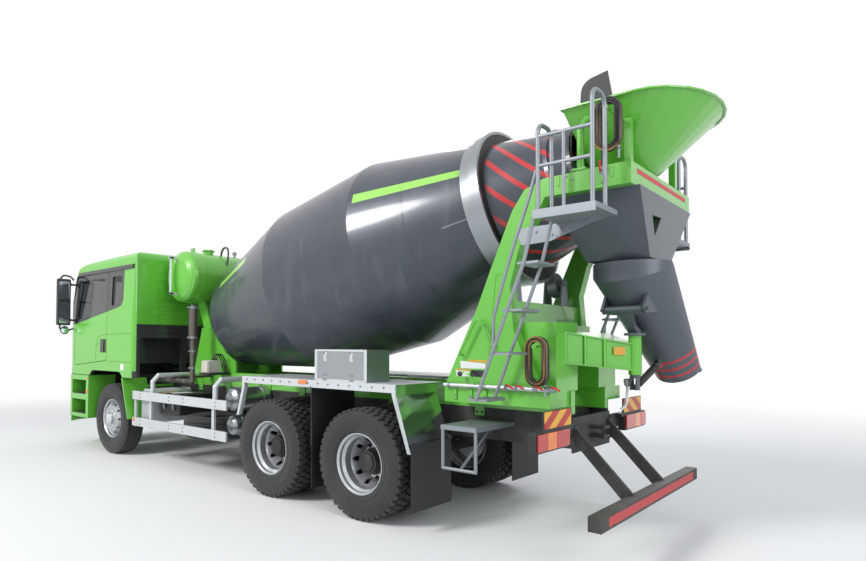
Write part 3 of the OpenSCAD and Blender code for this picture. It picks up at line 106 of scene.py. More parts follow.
class Finish:
    """A procedural material on the row frame's own coordinates."""

    def __init__(self, name, colour, rough, metal=0.0, **constants):
        self.material = bpy.data.materials.new(name)
        self.material.use_nodes = True
        self.tree = self.material.node_tree
        self.shader = self.tree.nodes["Principled BSDF"]
        self.colour, self.rough, self.metal = colour, rough, metal
        self.height = None
        for key, value in constants.items():
            key = key.replace("_", " ").title().replace("Ior", "IOR")
            self.shader.inputs[key].default_value = value
        self.place = self.node("TexCoord", out="Object")
        xyz = self.tree.nodes.new("ShaderNodeSeparateXYZ")
        self.tree.links.new(self.place.socket, xyz.inputs[0])
        self.x, self.y, self.z = (Value(self, xyz.outputs[i]) for i in range(3))

    def node(self, kind, settings=None, sockets=None, out=0):
        """A node of that kind, with its settings made first, then its sockets fed."""
        made = self.tree.nodes.new("ShaderNode" + kind)
        for key, value in (settings or {}).items():
            setattr(made, key, value)
        for key, value in (sockets or {}).items():
            self.feed(made.inputs[key], value)
        return Value(self, made.outputs[out])

    def feed(self, socket, value):
        """Links a varying value to a socket, or sets a constant on it."""
        if isinstance(value, Value):
            self.tree.links.new(value.socket, socket)
        else:
            socket.default_value = value

    def dot(self, first, second):
        """The dot product of two vectors."""
        return self.node("VectorMath", {"operation": "DOT_PRODUCT"}, {0: first, 1: second}, "Value")

    def along(self, point, direction):
        """How far a place lies from a point, measured in a direction."""
        local = self.node("VectorMath", {"operation": "SUBTRACT"}, {0: self.place, 1: tuple(point)})
        return self.dot(local, direction)

    def noise(self, scale, detail=4.0, stretch=(1, 1, 1)):
        """Cloudy noise from 0 to 1, so many lumps a metre, stretched along the axes."""
        spread = self.node("VectorMath", {"operation": "MULTIPLY"}, {0: self.place, 1: stretch})
        return self.node("TexNoise", None, {"Vector": spread, "Scale": scale, "Detail": detail})

    def cells(self, scale):
        """Distance to the nearest of scattered points, so many a metre."""
        return self.node("TexVoronoi", None, {"Vector": self.place, "Scale": scale}, "Distance")

    def blend(self, mask, first, second):
        """The first number where mask is 0, the second where it is 1."""
        return self.node("Mix", None, {0: mask, 2: first, 3: second})

    def paint(self, mask, colour, rough=None, metal=None):
        """Lays another colour over the finish where mask is 1."""
        self.colour = self.node("Mix", {"data_type": "RGBA"}, {0: mask, 6: self.colour, 7: colour}, out=2)
        if rough is not None:
            self.rough = self.blend(mask, self.rough, rough)
        if metal is not None:
            self.metal = self.blend(mask, self.metal, metal)
        return self

    def vary(self, depth, scale):
        """Uneven colour: slow clouds and a finer mottle."""
        cloud = self.noise(scale, 3.0).rise(0.3, 0.7) * depth
        mottle = self.noise(scale * 14, 2.0).rise(0.35, 0.65) * (depth * 0.4)
        varied = isinstance(self.colour, Value)
        return self.paint(cloud + mottle, (0.05, 0.05, 0.05, 1.0) if varied else shade(self.colour, 0.55))

    def dust(self, amount, low=0.3, high=1.6, colour=srgb(150, 143, 130)):
        """Road dust that thins out with height, broken up and streaked downwards."""
        fall = self.z.rise(high, low)
        broken = self.noise(5.0, 6.0, (1, 1, 0.35)).rise(0.35, 0.75)
        fine = self.noise(60.0, 3.0).rise(0.3, 0.8)
        return self.paint((fall * 0.75 + 0.25) * (broken * 0.7 + fine * 0.3) * amount, colour, 0.85)

    def relief(self, height):
        """Adds relief from a mask already scaled to metres."""
        self.height = height if self.height is None else self.height + height
        return self

    def grain(self, scale, depth, detail=3.0, stretch=(1, 1, 1)):
        """Adds surface relief of that depth in metres."""
        return self.relief(self.noise(scale, detail, stretch) * depth)

    def worn_edges(self, amount, colour):
        """Rubbed edges, found where a rounded normal departs from the true one."""
        rounded = self.node("Bevel", {"samples": 4}, {"Radius": 0.004})
        lean = self.dot(rounded, self.node("NewGeometry", out="Normal"))
        broken = self.noise(35.0, 4.0).rise(0.42, 0.62)
        return self.paint(lean.rise(0.995, 0.93) * broken * amount, colour, 0.5)

    def done(self, soften=0.003):
        """Feeds the shader. Edges get a rounded highlight that soften wide."""
        for name, value in (("Base Color", self.colour), ("Roughness", self.rough), ("Metallic", self.metal)):
            self.feed(self.shader.inputs[name], value)
        normal = self.node("Bevel", {"samples": 4}, {"Radius": soften}) if soften else None
        if self.height is not None:
            sockets = {"Height": self.height, "Distance": 1.0, "Strength": 1.0}
            if normal:
                sockets["Normal"] = normal
            normal = self.node("Bump", None, sockets)
        if normal:
            self.feed(self.shader.inputs["Normal"], normal)
        return self


# Finishes

GREEN = srgb(100, 188, 58)
RED = srgb(196, 34, 44)
DRUM_GREY = srgb(60, 67, 79)
PALE = srgb(206, 210, 214)
DRY_MUD = srgb(98, 97, 95)

green_paint = Finish("green_paint", GREEN, 0.32, coat_weight=0.6, coat_roughness=0.08)
green_paint.vary(0.1, 1.3).dust(0.16).grain(320, 0.00004)
green_paint.worn_edges(0.25, srgb(150, 200, 110)).done(0.006)


def cab_enamel(name):
    """The cab's smoother green."""
    made = Finish(name, GREEN, 0.26, coat_weight=0.6, coat_roughness=0.05)
    return made.vary(0.06, 0.9).dust(0.1).grain(380, 0.00002)


def cab_skin_finish():
    """Cab paint with the black surround of the windows and the dark inside."""
    made = cab_enamel("cab_skin")
    x, width, z = made.x - AXLE, abs(made.y), made.z
    belt = (1.085 - x) * 0.149 + 2.045
    behind = (-0.37 - x).most(0.0)
    below = (belt + 0.12 - z).most(0.0)
    corner = (behind * behind + below * below).rise(0.0146, 0.0142)
    flank = width.rise(1.1, 1.12).most(x.rise(1.14, 1.16))
    made.paint(corner * flank * z.rise(2.845, 2.838), srgb(22, 24, 27), 0.18)
    lined = width.rise(1.195, 1.192)
    inside = lined * x.within(-0.778, 0.86, 0.002) * z.rise(2.972, 2.97)
    nose = lined * x.rise(1.442, 1.438) * z.rise(2.0, 1.99)
    recess = width.rise(1.139, 1.136) * z.rise(1.795, 1.792) * x.rise(0.88, 0.86)
    arch = width.rise(1.24, 1.236) * z.rise(1.302, 1.298)
    return made.paint(inside.most(nose).most(recess).most(arch), srgb(34, 35, 37), 0.7).done(0.008)


cab_paint = cab_enamel("cab_paint").done(0.008)
cab_skin = cab_skin_finish()

chassis_black = Finish("chassis_black", srgb(34, 35, 38), 0.55)
chassis_black.vary(0.2, 3.0).dust(0.32, 0.2, 1.3).grain(90, 0.00025).worn_edges(0.3, srgb(88, 84, 80)).done()

cast_grey = Finish("cast_grey", srgb(92, 94, 97), 0.62, 0.4)
cast_grey.vary(0.3, 5.0).dust(0.35).grain(140, 0.0005).worn_edges(0.35, srgb(150, 150, 150)).done()

# The drum's middle and lean.
DRUM_PLACE = at(-3.624, 0, 2.461)
DRUM_LEAN = math.radians(12.8)


def in_drum(made):
    """Distances along the drum's axis and up from it, for a finish."""
    run, rise = math.cos(DRUM_LEAN), math.sin(DRUM_LEAN)
    return made.along(DRUM_PLACE, (-run, 0.0, rise)), made.along(DRUM_PLACE, (rise, 0.0, run))


def drum_finish():
    """Dark grey drum enamel with its stripes, seams and running dust."""
    paint = Finish("drum_paint", DRUM_GREY, 0.36, 0.25, coat_weight=0.5, coat_roughness=0.12)
    along, up = in_drum(paint)
    turn = paint.node("Math", {"operation": "ARCTAN2"}, {0: paint.y, 1: up})
    paint.vary(0.16, 0.8)
    seams = along * 0.0
    for place in (-1.05, 0.0, 0.72, 1.442, 2.05):
        seams = seams.most(along.within(place - 0.003, place + 0.003, 0.005))
    weld = abs(turn - 1.8).rise(0.012, 0.004) * along.within(2.4, 2.64, 0.004)
    paint.relief((seams + weld) * 0.0015)
    paint.paint(seams * 0.35, srgb(44, 48, 56)).paint(weld * 0.4, srgb(150, 156, 164))
    for low, high, middle in ((1.5, 2.655, 1.14), (-1.42, -0.59, 1.05)):
        edges = abs(turn - middle).rise(0.057, 0.053).most(abs(turn + middle).rise(0.057, 0.053))
        paint.paint(along.within(low, high, 0.004) * edges, srgb(150, 214, 92), 0.34, 0.0)
    helix = (turn - (along - 3.0) * 1.92) % (math.tau / 14)
    bands = helix.within(0.31, 0.414, 0.006) * along.within(2.88, 3.49, 0.004)
    paint.paint(bands, RED, 0.34, 0.0)
    paint.paint(along.within(2.66, 2.77, 0.003) * 0.6, srgb(128, 134, 142), 0.4)
    paint.paint(along.within(3.59, 3.8, 0.004), srgb(40, 42, 46), 0.5)
    streak = paint.noise(7.0, 5.0, (1, 1, 0.15)).rise(0.5, 0.85)
    paint.paint(streak * 0.18, srgb(140, 140, 138), 0.7)
    return paint.dust(0.1, 1.2, 3.2).grain(260, 0.00004).done(0.004)


drum_paint = drum_finish()

ring_steel = Finish("ring_steel", srgb(28, 29, 32), 0.5, 0.2)
ring_up = in_drum(ring_steel)[1]
from_axis = (ring_steel.y * ring_steel.y + ring_up * ring_up) ** 0.5
ring_steel.vary(0.15, 5.0).paint(from_axis.rise(0.768, 0.77), srgb(150, 155, 160), 0.3, 0.8)
ring_steel.dust(0.15).grain(180, 0.0001).done(0.003)


def grey_enamel(name, bands=()):
    """Grey enamel with dried splashes of concrete, and red bands at those places along the chute."""
    made = Finish(name, srgb(84, 90, 99), 0.42, 0.2, coat_weight=0.3, coat_roughness=0.2)
    made.vary(0.2, 2.0)
    splash = made.cells(26.0).rise(0.16, 0.1) * made.noise(3.0).rise(0.5, 0.65)
    made.paint(splash * 0.4, srgb(150, 149, 145), 0.9).relief(splash * 0.0008)
    hang, turn = math.radians(50), math.radians(11.5)
    down = (-math.cos(hang) * math.sin(turn), -math.cos(hang) * math.cos(turn), -math.sin(hang))
    along = made.along(at(-7.518, 0.01, 2.408), down)
    for place in bands:
        made.paint(along.within(place - 0.011, place + 0.011, 0.002), RED, 0.35, 0.0)
    return made.grain(200, 0.0001).worn_edges(0.4, srgb(140, 145, 150)).done(0.004)


grey_paint = grey_enamel("grey_paint")
chute_paint = grey_enamel("chute_paint", (0.94, 1.03, 1.12))

galvanised = Finish("galvanised", srgb(138, 144, 151), 0.45, 0.5)
galvanised.vary(0.12, 6.0).dust(0.15).grain(240, 0.0001)
galvanised.paint(galvanised.cells(140.0).rise(0.3, 0.75) * 0.16, srgb(176, 182, 188)).done(0.002)

pale_metal = Finish("pale_metal", PALE, 0.38, 0.35)
pale_metal.vary(0.08, 2.5).dust(0.16, 0.3, 1.3).grain(200, 0.00006)
pale_metal.worn_edges(0.3, srgb(160, 164, 168)).done()

fender_metal = Finish("fender_metal", PALE, 0.38, 0.35)
fender_metal.vary(0.08, 2.5).dust(0.12, 0.3, 1.3).grain(200, 0.00006)
fender_metal.paint(fender_metal.x.rise(AXLE - 5.788, AXLE - 5.79), srgb(188, 194, 196), 0.14, 0.95)
between = fender_metal.x.within(AXLE - 4.646, AXLE - 4.629, 0.001) * fender_metal.z.rise(1.268, 1.266)
fender_metal.paint(between, srgb(32, 34, 37), 0.6, 0.0).done()

bright_metal = Finish("bright_metal", srgb(164, 169, 174), 0.3, 0.9)
bright_metal.vary(0.08, 4.0).dust(0.1).grain(60, 0.0002, 2.0, (1, 6, 1)).done(0.002)

chrome = Finish("chrome", srgb(226, 228, 230), 0.08, 1.0).vary(0.05, 12.0).done(0.001)

rim_silver = Finish("rim_silver", srgb(192, 196, 200), 0.3, 0.75, coat_weight=0.3, coat_roughness=0.1)
rim_silver.vary(0.1, 7.0).dust(0.22, 0.1, 0.9, srgb(120, 112, 104)).grain(180, 0.0001).done(0.003)

tyre_rubber = Finish("tyre_rubber", srgb(36, 37, 39), 0.78, sheen_weight=0.15)
tyre_rubber.vary(0.2, 8.0).dust(0.22, -0.2, 1.3, DRY_MUD).grain(320, 0.0004).done(0.003)

flap_rubber = Finish("flap_rubber", srgb(30, 32, 35), 0.55)
flap_rubber.vary(0.2, 6.0).dust(0.14, 0.1, 0.7, DRY_MUD).grain(260, 0.0003).done()

black_plastic = Finish("black_plastic", srgb(30, 31, 33), 0.5)
black_plastic.vary(0.15, 6.0).dust(0.1).grain(500, 0.00003).done(0.003)

cab_lining = Finish("cab_lining", srgb(72, 73, 76), 0.8).vary(0.2, 9.0).grain(300, 0.00004).done()

hub_black = Finish("hub_black", srgb(36, 37, 40), 0.46, 0.3)
hub_black.vary(0.2, 10.0).dust(0.3, 0.1, 1.0).grain(150, 0.0003).done()

exhaust_steel = Finish("exhaust_steel", srgb(104, 99, 94), 0.45, 0.6).vary(0.2, 7.0)
exhaust_steel.paint(exhaust_steel.z.within(1.9, 2.2, 0.15) * 0.45, srgb(96, 90, 84), 0.55)
exhaust_steel.grain(150, 0.0002).done()

rod_chrome = Finish("rod_chrome", srgb(214, 217, 220), 0.12, 1.0).vary(0.05, 20.0).done(0.001)

glass = Finish("tinted_glass", srgb(26, 32, 36), 0.04, specular_ior_level=0.8, alpha=0.42).vary(0.1, 1.0)
glass.paint(glass.noise(4.0).rise(0.3, 0.9) * 0.15, srgb(60, 72, 80), 0.08).done(0)


def lens(name, colour, painted_glow):
    """Ribbed lamp glass over a bright reflector, the reflector's light given as a weak painted glow in the
    glass's own colour.
    """
    made = Finish(name, colour, 0.12, coat_weight=1.0, coat_roughness=0.03, emission_color=colour,
                  emission_strength=painted_glow)
    ribs = (made.z * 140.0) % 1.0
    made.relief(ribs.within(0.25, 0.75, 0.2) * 0.0008)
    return made.paint(made.noise(30.0).rise(0.4, 0.7) * 0.25, shade(colour, 0.5)).done(0.001)


# The last number is each lens's painted glow.
red_lens = lens("red_lens", srgb(190, 22, 24), 0.12)
orange_lens = lens("orange_lens", srgb(236, 120, 22), 0.15)
clear_lens = lens("clear_lens", srgb(216, 220, 224), 0.05)

red_tape = Finish("red_tape", RED, 0.4)
red_tape.vary(0.12, 8.0).dust(0.12).grain(500, 0.00008).done(0.002)


def hazard_finish():
    """Red and yellow diagonal bands of reflective sheet."""
    made = Finish("hazard_sheet", srgb(236, 176, 32), 0.3)
    bands = ((abs(made.y) + made.z * 1.6) / 0.27) % 1.0
    made.paint(bands.within(0.0, 0.5, 0.02), srgb(186, 28, 32))
    comb = abs((made.y * 190.0) % 1.0 - 0.5) + abs((made.z * 190.0) % 1.0 - 0.5)
    return made.relief(comb * 0.0002).vary(0.08, 20.0).done(0.001)


hazard_sheet = hazard_finish()

# Darker green for the pressed lines on the cab and doors: painted shade standing in for the shade held in the
# creases.
crease_shade_green = Finish("crease_shade_green", srgb(52, 112, 30), 0.5).vary(0.1, 5.0).done(0)
gloss_black = Finish("gloss_black", srgb(20, 22, 24), 0.2, coat_weight=0.5, coat_roughness=0.1)
gloss_black.vary(0.1, 6.0).dust(0.06).done(0.002)
blank_plate = Finish("blank_plate", srgb(226, 229, 230), 0.4)
blank_plate.vary(0.06, 9.0).dust(0.1).grain(300, 0.00004).done(0.001)
amber_plate = Finish("amber_plate", srgb(214, 158, 52), 0.4)
amber_plate.vary(0.1, 14.0).dust(0.1).grain(300, 0.00004).done(0.001)
mirror_glass = Finish("mirror_glass", srgb(176, 186, 192), 0.03, 1.0).vary(0.05, 6.0).done(0)
beige_box = Finish("beige_box", srgb(204, 200, 188), 0.5)
beige_box.vary(0.15, 6.0).dust(0.2).grain(300, 0.0001).done(0.003)

hose_rubber = Finish("hose_rubber", srgb(38, 37, 37), 0.5).vary(0.2, 12.0)
hose_rubber.paint(hose_rubber.y.within(0.832, 0.843, 0.001), srgb(104, 88, 72), 0.5)
hose_rubber.paint(hose_rubber.y.within(0.855, 0.862, 0.001), srgb(158, 124, 70), 0.5)
hose_rubber.dust(0.2).grain(400, 0.00015).done(0)

# The finish of each node.
finish_of = {
    green_paint: ("subframe", "water_tank", "rear_pedestal", "charging_hopper", "chute_arm"),
    cab_paint: ("front_bumper",),
    cab_skin: ("cab_shell", *both("door")),
    chassis_black: ("chassis_frame", "leaf_springs", "front_axle", "rear_axles", "underrun_guard",
                    "drum_drive", "jack_barrel", *both("knuckle")),
    drum_paint: ("drum_shell", "drum_mouth"),
    ring_steel: ("track_ring",),
    cast_grey: ("driveline",),
    grey_paint: ("discharge_hopper", "chute_extension", "chute_swivel"),
    chute_paint: ("chute",),
    galvanised: ("ladder_platforms", "drum_rollers"),
    pale_metal: ("side_guards", "water_pipes", "battery_box"),
    fender_metal: ("rear_fenders",),
    bright_metal: ("toolbox", "toolbox_flap", "air_tanks", "fuel_tank"),
    exhaust_steel: ("exhaust",),
    black_plastic: ("cab_trim", "lamps"),
    cab_lining: ("cab_interior",),
    tyre_rubber: ("spare_wheel", *both("tyre_front", "tyres_mid", "tyres_rear")),
    # The splash plate takes the dark rubber finish partly as painted shade: a dark plate, made darker still
    # for the shade it stands in.
    flap_rubber: ("mud_flaps", "splash_plate"),
    rim_silver: both("rim_front", "rims_mid", "rims_rear"),
    rod_chrome: ("jack_rod",),
    glass: ("cab_glass", *both("door_glass")),
}
for finish, names in finish_of.items():
    for name in names:
        nodes[name].data.materials.clear()
        nodes[name].data.materials.append(finish.material)


# Mesh making

def aimed(origin, z_dir, x_dir=None):
    """The place whose z points along z_dir and whose x leans towards x_dir."""
    z = Vector(z_dir).normalized()
    lean = Vector(x_dir) if x_dir else Vector(AHEAD if abs(z.x) < 0.9 else OUTWARD)
    y = z.cross(lean).normalized()
    x = y.cross(z)
    turned = Matrix((x, y, z)).transposed().to_4x4()
    return Matrix.Translation(Vector(origin)) @ turned


def smooth_path(points, per=6):
    """A curve through the points, with that many steps from each to the next."""
    ends = [2 * points[0] - points[1], *points, 2 * points[-1] - points[-2]]
    out = []
    for a, b, c, d in zip(ends, ends[1:], ends[2:], ends[3:]):
        for i in range(per):
            t = i / per
            out.append(0.5 * (2 * b + (c - a) * t + (2 * a - 5 * b + 4 * c - d) * t ** 2
                              + (3 * b - a - 3 * c + d) * t ** 3))
    return out + [points[-1]]


def round_points(radius, count, start=0.0):
    """Points evenly round a circle, the first one start of a step on."""
    turns = [math.tau * (i + start) / count for i in range(count)]
    return [(radius * math.cos(t), radius * math.sin(t)) for t in turns]


def rounded(x0, x1, z0, z1, r=0.004, steps=3):
    """A rectangle with round corners, as [across, up] points."""
    r = min(r, (x1 - x0) / 2.01, (z1 - z0) / 2.01)
    corners = ((x1 - r, z1 - r, 0), (x0 + r, z1 - r, 1), (x0 + r, z0 + r, 2), (x1 - r, z0 + r, 3))
    turns = [(cx, cz, math.pi / 2 * (k + i / steps)) for cx, cz, k in corners for i in range(steps + 1)]
    return [(cx + r * math.cos(t), cz + r * math.sin(t)) for cx, cz, t in turns]


def inset(outline, depth):
    """A closed outline moved inwards by depth. It runs anticlockwise."""
    out = []
    count = len(outline)
    for i in range(count):
        a, b, c = (Vector(outline[(i + k) % count]) for k in (-1, 0, 1))
        p, q = (b - a).normalized(), (c - b).normalized()
        n = Vector((-p.y - q.y, p.x + q.x))
        scale = max(0.4, n.length / 2)
        out.append(b + n.normalized() * depth / scale)
    return out


def skin(rows, count, closed=False):
    """Quads between one ring of count points and the next, and back to the first if closed."""
    steps = [(k * count, (k + 1) % rows * count) for k in range(rows if closed else rows - 1)]
    turns = [(i, (i + 1) % count) for i in range(count)]
    return [[k + i, k + j, n + j, n + i] for k, n in steps for i, j in turns]


def caps(rows, count):
    """The faces that shut the first and the last ring."""
    return [list(range(count))[::-1], list(range((rows - 1) * count, rows * count))]


class Form:
    """A piece's mesh while it is put together, with a finish for each face.

    A point or way given as a tuple runs from the front axle, with y outwards on the side out.
    A Vector is in the row frame already.
    """

    def __init__(self, name, *finishes, out=1):
        self.name, self.finishes, self.out = name, finishes, out
        self.points, self.faces, self.kinds = [], [], []

    def spot(self, point):
        """Where a point lies in the row frame."""
        return point if isinstance(point, Vector) else at(point[0], self.out * point[1], point[2])

    def place(self, point, way, lean=None):
        """The place at a point whose z looks along way."""
        if not isinstance(way, Vector):
            way = (way[0], self.out * way[1], way[2])
        return aimed(self.spot(point), way, lean)

    def add(self, points, faces, kind, place=None):
        """Adds points given in the place, and faces numbered from the first of them."""
        first = len(self.points)
        self.points += [place @ Vector(p) if place else Vector(p) for p in points]
        self.faces += [[first + i for i in f] for f in faces]
        self.kinds += [kind] * len(faces)

    def slab(self, outline, low, high, edge=0.002, kind=0, place=None):
        """An outline in the place's xy, carried from low to high with chamfered rims."""
        area = sum(a[0] * b[1] - b[0] * a[1] for a, b in zip(outline, [*outline[1:], outline[0]]))
        outline = [Vector(p) for p in (outline if area > 0 else outline[::-1])]
        small = inset(outline, edge)
        rings = [(small, low), (outline, low + edge), (outline, high - edge), (small, high)]
        points = [(p.x, p.y, z) for ring, z in rings for p in ring]
        self.add(points, caps(4, len(outline)) + skin(4, len(outline)), kind, place)

    def box(self, low, high, edge=0.002, kind=0):
        """A box between two corners, with its edges chamfered."""
        near, far = sorted((self.out * low[1], self.out * high[1]))
        (x0, y0, z0), (x1, y1, z1) = at(low[0], near, low[2]), at(high[0], far, high[2])
        e = min(edge, (x1 - x0) / 3, (y1 - y0) / 3, (z1 - z0) / 3)
        outline = [(x0 + e, y0), (x1 - e, y0), (x1, y0 + e), (x1, y1 - e),
                   (x1 - e, y1), (x0 + e, y1), (x0, y1 - e), (x0, y0 + e)]
        self.slab(outline, z0, z1, e, kind)

    def side_slab(self, y, outline, thick, kind=0):
        """A plate of [x, z] points against a plane y out from the truck's middle."""
        place = self.place((0, y, 0), OUTWARD, UP)
        self.slab([(z, self.out * x) for x, z in outline], 0, thick, min(0.002, thick / 3), kind, place)

    def side_plate(self, y, span, thick, kind=0, r=0.004):
        """A plate with round corners on the plane y, over x0, x1, z0, z1."""
        self.side_slab(y, rounded(*span, r), thick, kind)

    def end_plate(self, x, span, thick, kind=0, r=0.004, way=-1, edge=0.002):
        """A plate over y0, y1, z0, z1 on a plane x that looks forward, way 1, or rearward, way -1."""
        outline = [(z, -way * self.out * y) for y, z in rounded(*span, r)]
        self.slab(outline, 0, thick, min(edge, thick / 3), kind, aimed(at(x, 0, 0), (way, 0, 0), UP))

    def turned(self, profile, point, way=UP, steps=32, kind=0, closed=False):
        """[radius, height] points turned about an axis through the point."""
        points = [(x, y, h) for r, h in profile for x, y in round_points(r, steps)]
        faces = skin(len(profile), steps, closed) + ([] if closed else caps(len(profile), steps))
        self.add(points, faces, kind, self.place(point, way))

    def band(self, inner, outer, half, point, way=UP, steps=32, kind=0):
        """A flat ring, half as wide to each side of the point."""
        profile = [(inner, -half), (outer, -half), (outer, half), (inner, half)]
        self.turned(profile, point, way, steps, kind, True)

    def tube(self, points, radius, sides=12, kind=0, per=0):
        """A round bar through the points, as a curve of per steps from each to the next if given."""
        path = [self.spot(p) for p in points]
        path = smooth_path(path, per) if per else path
        rings = []
        normal = None
        for i, p in enumerate(path):
            way = (path[min(i + 1, len(path) - 1)] - path[max(i - 1, 0)]).normalized()
            if normal is None:
                normal = way.orthogonal().normalized()
            normal = (normal - way * normal.dot(way)).normalized()
            side = way.cross(normal)
            rings += [p + (normal * c + side * s) * radius for c, s in round_points(1, sides)]
        self.add(rings, skin(len(path), sides) + caps(len(path), sides), kind)

    def bolt(self, point, way, size=0.012, kind=0):
        """A hexagon head with a washer, seated at point."""
        self.turned([(size * 1.25, -0.001), (size * 1.25, size * 0.16)], point, way, 16, kind)
        self.slab(round_points(size, 6), size * 0.14, size * 0.8, size * 0.12, kind, self.place(point, way))

    def build(self, body, sharp=32, stands_for=()):
        """Makes the object, smooth but for edges sharper than sharp degrees, on its body."""
        mesh = bpy.data.meshes.new(self.name)
        mesh.from_pydata([tuple(p) for p in self.points], [], self.faces)
        for finish in self.finishes:
            mesh.materials.append(finish.material)
        mesh.polygons.foreach_set("material_index", self.kinds)
        mesh.shade_smooth()
        mesh.set_sharp_from_angle(angle=math.radians(sharp))
        piece = bpy.data.objects.new(self.name, mesh)
        bpy.context.scene.collection.objects.link(piece)
        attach(piece, body)
        if stands_for:
            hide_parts(*stands_for)
        return piece


def fitting(body, slot, *finishes, sides=("",)):
    """Makes the piece, or one for each side, that a function shapes and is named for."""
    def shaped_by(shape):
        for side in sides:
            form = Form(f"{shape.__name__}_{side}".rstrip("_"), *finishes, out=SIDES.get(side, 1))
            shape(form)
            form.build(body.format(side))
        return shape
    return shaped_by


# Camera and studio

# The photo's size, and its focal length and point of sight in pixels.
IMAGE_WIDE, IMAGE_HIGH = 866, 561
FOCAL, SIGHT_X, SIGHT_Y = 610.35, 372.25, 329.64
YAW, PITCH, ROLL = (math.radians(v) for v in (138.17359, 1.51568, 0.26171))
SENSOR_MM = 36

camera = bpy.data.objects.new("camera", bpy.data.cameras.new("camera"))
bpy.context.scene.collection.objects.link(camera)
bpy.context.scene.camera = camera
forward = Vector((math.sin(YAW) * math.cos(PITCH), math.cos(YAW) * math.cos(PITCH), math.sin(PITCH)))
level = Vector((math.cos(YAW), -math.sin(YAW), 0))
above = level.cross(forward)
rightward = level * math.cos(ROLL) + above * math.sin(ROLL)
upward = above * math.cos(ROLL) - level * math.sin(ROLL)
camera.matrix_world = (Matrix.Translation(at(-9.38518, 5.56249, 1.68971))
                       @ Matrix((rightward, upward, -forward)).transposed().to_4x4())
camera.data.lens = FOCAL / IMAGE_WIDE * SENSOR_MM
camera.data.shift_x = (IMAGE_WIDE / 2 - SIGHT_X) / IMAGE_WIDE
camera.data.shift_y = (SIGHT_Y - IMAGE_HIGH / 2) / IMAGE_WIDE
camera.data.clip_end = 200

TRUCK_MIDDLE = Vector((-1.0, 0, 1.5))


def lamp(name, place, width, power, colour=(1, 1, 1)):
    """A round soft light that looks at the truck."""
    light = bpy.data.lights.new(name, "AREA")
    light.shape, light.size, light.energy, light.color = "DISK", width, power, colour
    rig = bpy.data.objects.new(name, light)
    bpy.context.scene.collection.objects.link(rig)
    rig.location = place
    rig.rotation_mode = "QUATERNION"
    rig.rotation_quaternion = (TRUCK_MIDDLE - Vector(place)).to_track_quat("-Z", "Y")


lamp("key", (3.0, 13.0, 11.0), 5.0, 1900, (1.0, 0.98, 0.95))
lamp("fill", (-14.0, 4.0, 6.0), 8.0, 620, (0.94, 0.97, 1.0))
lamp("back", (2.0, -12.0, 9.0), 8.0, 600)

bpy.context.scene.view_settings.view_transform = "Standard"
world = bpy.data.worlds.new("studio")
bpy.context.scene.world = world
world.use_nodes = True
sky = world.node_tree
lit = sky.nodes["Background"]
white = sky.nodes.new("ShaderNodeBackground")
for background, colour, strength in ((lit, (0.86, 0.9, 0.95, 1), 0.52), (white, (1, 1, 1, 1), 1.0)):
    background.inputs["Color"].default_value = colour
    background.inputs["Strength"].default_value = strength
rays = sky.nodes.new("ShaderNodeLightPath")
seen = rays.outputs["Is Camera Ray"]
for ray in ("Is Glossy Ray", "Is Transmission Ray"):
    either = sky.nodes.new("ShaderNodeMath")
    either.operation = "MAXIMUM"
    sky.links.new(seen, either.inputs[0])
    sky.links.new(rays.outputs[ray], either.inputs[1])
    seen = either.outputs[0]
choice = sky.nodes.new("ShaderNodeMixShader")
for i, socket in enumerate((seen, lit.outputs[0], white.outputs[0])):
    sky.links.new(socket, choice.inputs[i])
sky.links.new(choice.outputs[0], sky.nodes["World Output"].inputs["Surface"])

FLOOR = 60
floor_mesh = bpy.data.meshes.new("floor")
floor_mesh.from_pydata([(x * FLOOR, y * FLOOR, 0) for x, y in ((-1, -1), (1, -1), (1, 1), (-1, 1))], [],
                       [(0, 1, 2, 3)])
floor = bpy.data.objects.new("floor", floor_mesh)
bpy.context.scene.collection.objects.link(floor)
floor_finish = Finish("floor", srgb(236, 237, 238), 0.85).done(0)
far = floor_finish.node("VectorMath", {"operation": "LENGTH"}, {0: floor_finish.place}, "Value")
clear = floor_finish.node("BsdfTransparent")
fade = floor_finish.node("MixShader", None, {
    0: far.rise(7.0, 16.0), 1: Value(floor_finish, floor_finish.shader.outputs[0]), 2: clear})
floor_finish.tree.links.new(fade.socket, floor_finish.tree.nodes["Material Output"].inputs["Surface"])
floor_mesh.materials.append(floor_finish.material)


# Wheels

TYRE_R, TYRE_HALF, RIM_R = 0.5425, 0.1475, 0.2855
TREAD_FLOOR = 0.505
HUB_Z = 0.5425
STEER_OUT, DRIVE_OUT, TWIN_HALF = 1.03, 0.925, 0.1725
DRIVEN = {"mid": -3.95, "rear": -5.325}


def tyre_carcass(form, centre):
    """Casing with beads, wall rings and a shoulder, turned about the axle."""
    side = [(RIM_R + 0.001, 0.1095), (RIM_R + 0.016, 0.1095), (RIM_R + 0.026, 0.124), (0.335, 0.131),
            (0.339, 0.136), (0.345, 0.1355), (0.35, 0.133), (0.385, 0.1425), (0.4275, 0.1475),
            (0.452, 0.147), (0.456, 0.1445), (0.47, 0.144), (0.4825, 0.1435), (0.502, 0.1385),
            (0.518, 0.127)]
    profile = [(r, -h) for r, h in side] + [(r, h) for r, h in side[::-1]]
    form.turned(profile, centre, OUTWARD, 72, closed=True)


def lug(form, centre, angle, across, length, width, lean):
    """One tread block on the crown, at an angle round the tyre."""
    radial = Vector((math.sin(angle), 0, math.cos(angle)))
    round_way = Vector((math.cos(angle), 0, -math.sin(angle)))
    drop = 0.012 * (abs(across) / TYRE_HALF) ** 2
    place = aimed(centre + radial * (TREAD_FLOOR - drop) + Vector((0, across, 0)), radial, round_way)
    slide = lean * width / 2
    outline = [(-length / 2 - slide, -width / 2), (length / 2 - slide, -width / 2),
               (length / 2 + slide, width / 2), (-length / 2 + slide, width / 2)]
    form.slab(outline, 0.0, TYRE_R - TREAD_FLOOR + 0.0001, 0.005, 0, place)


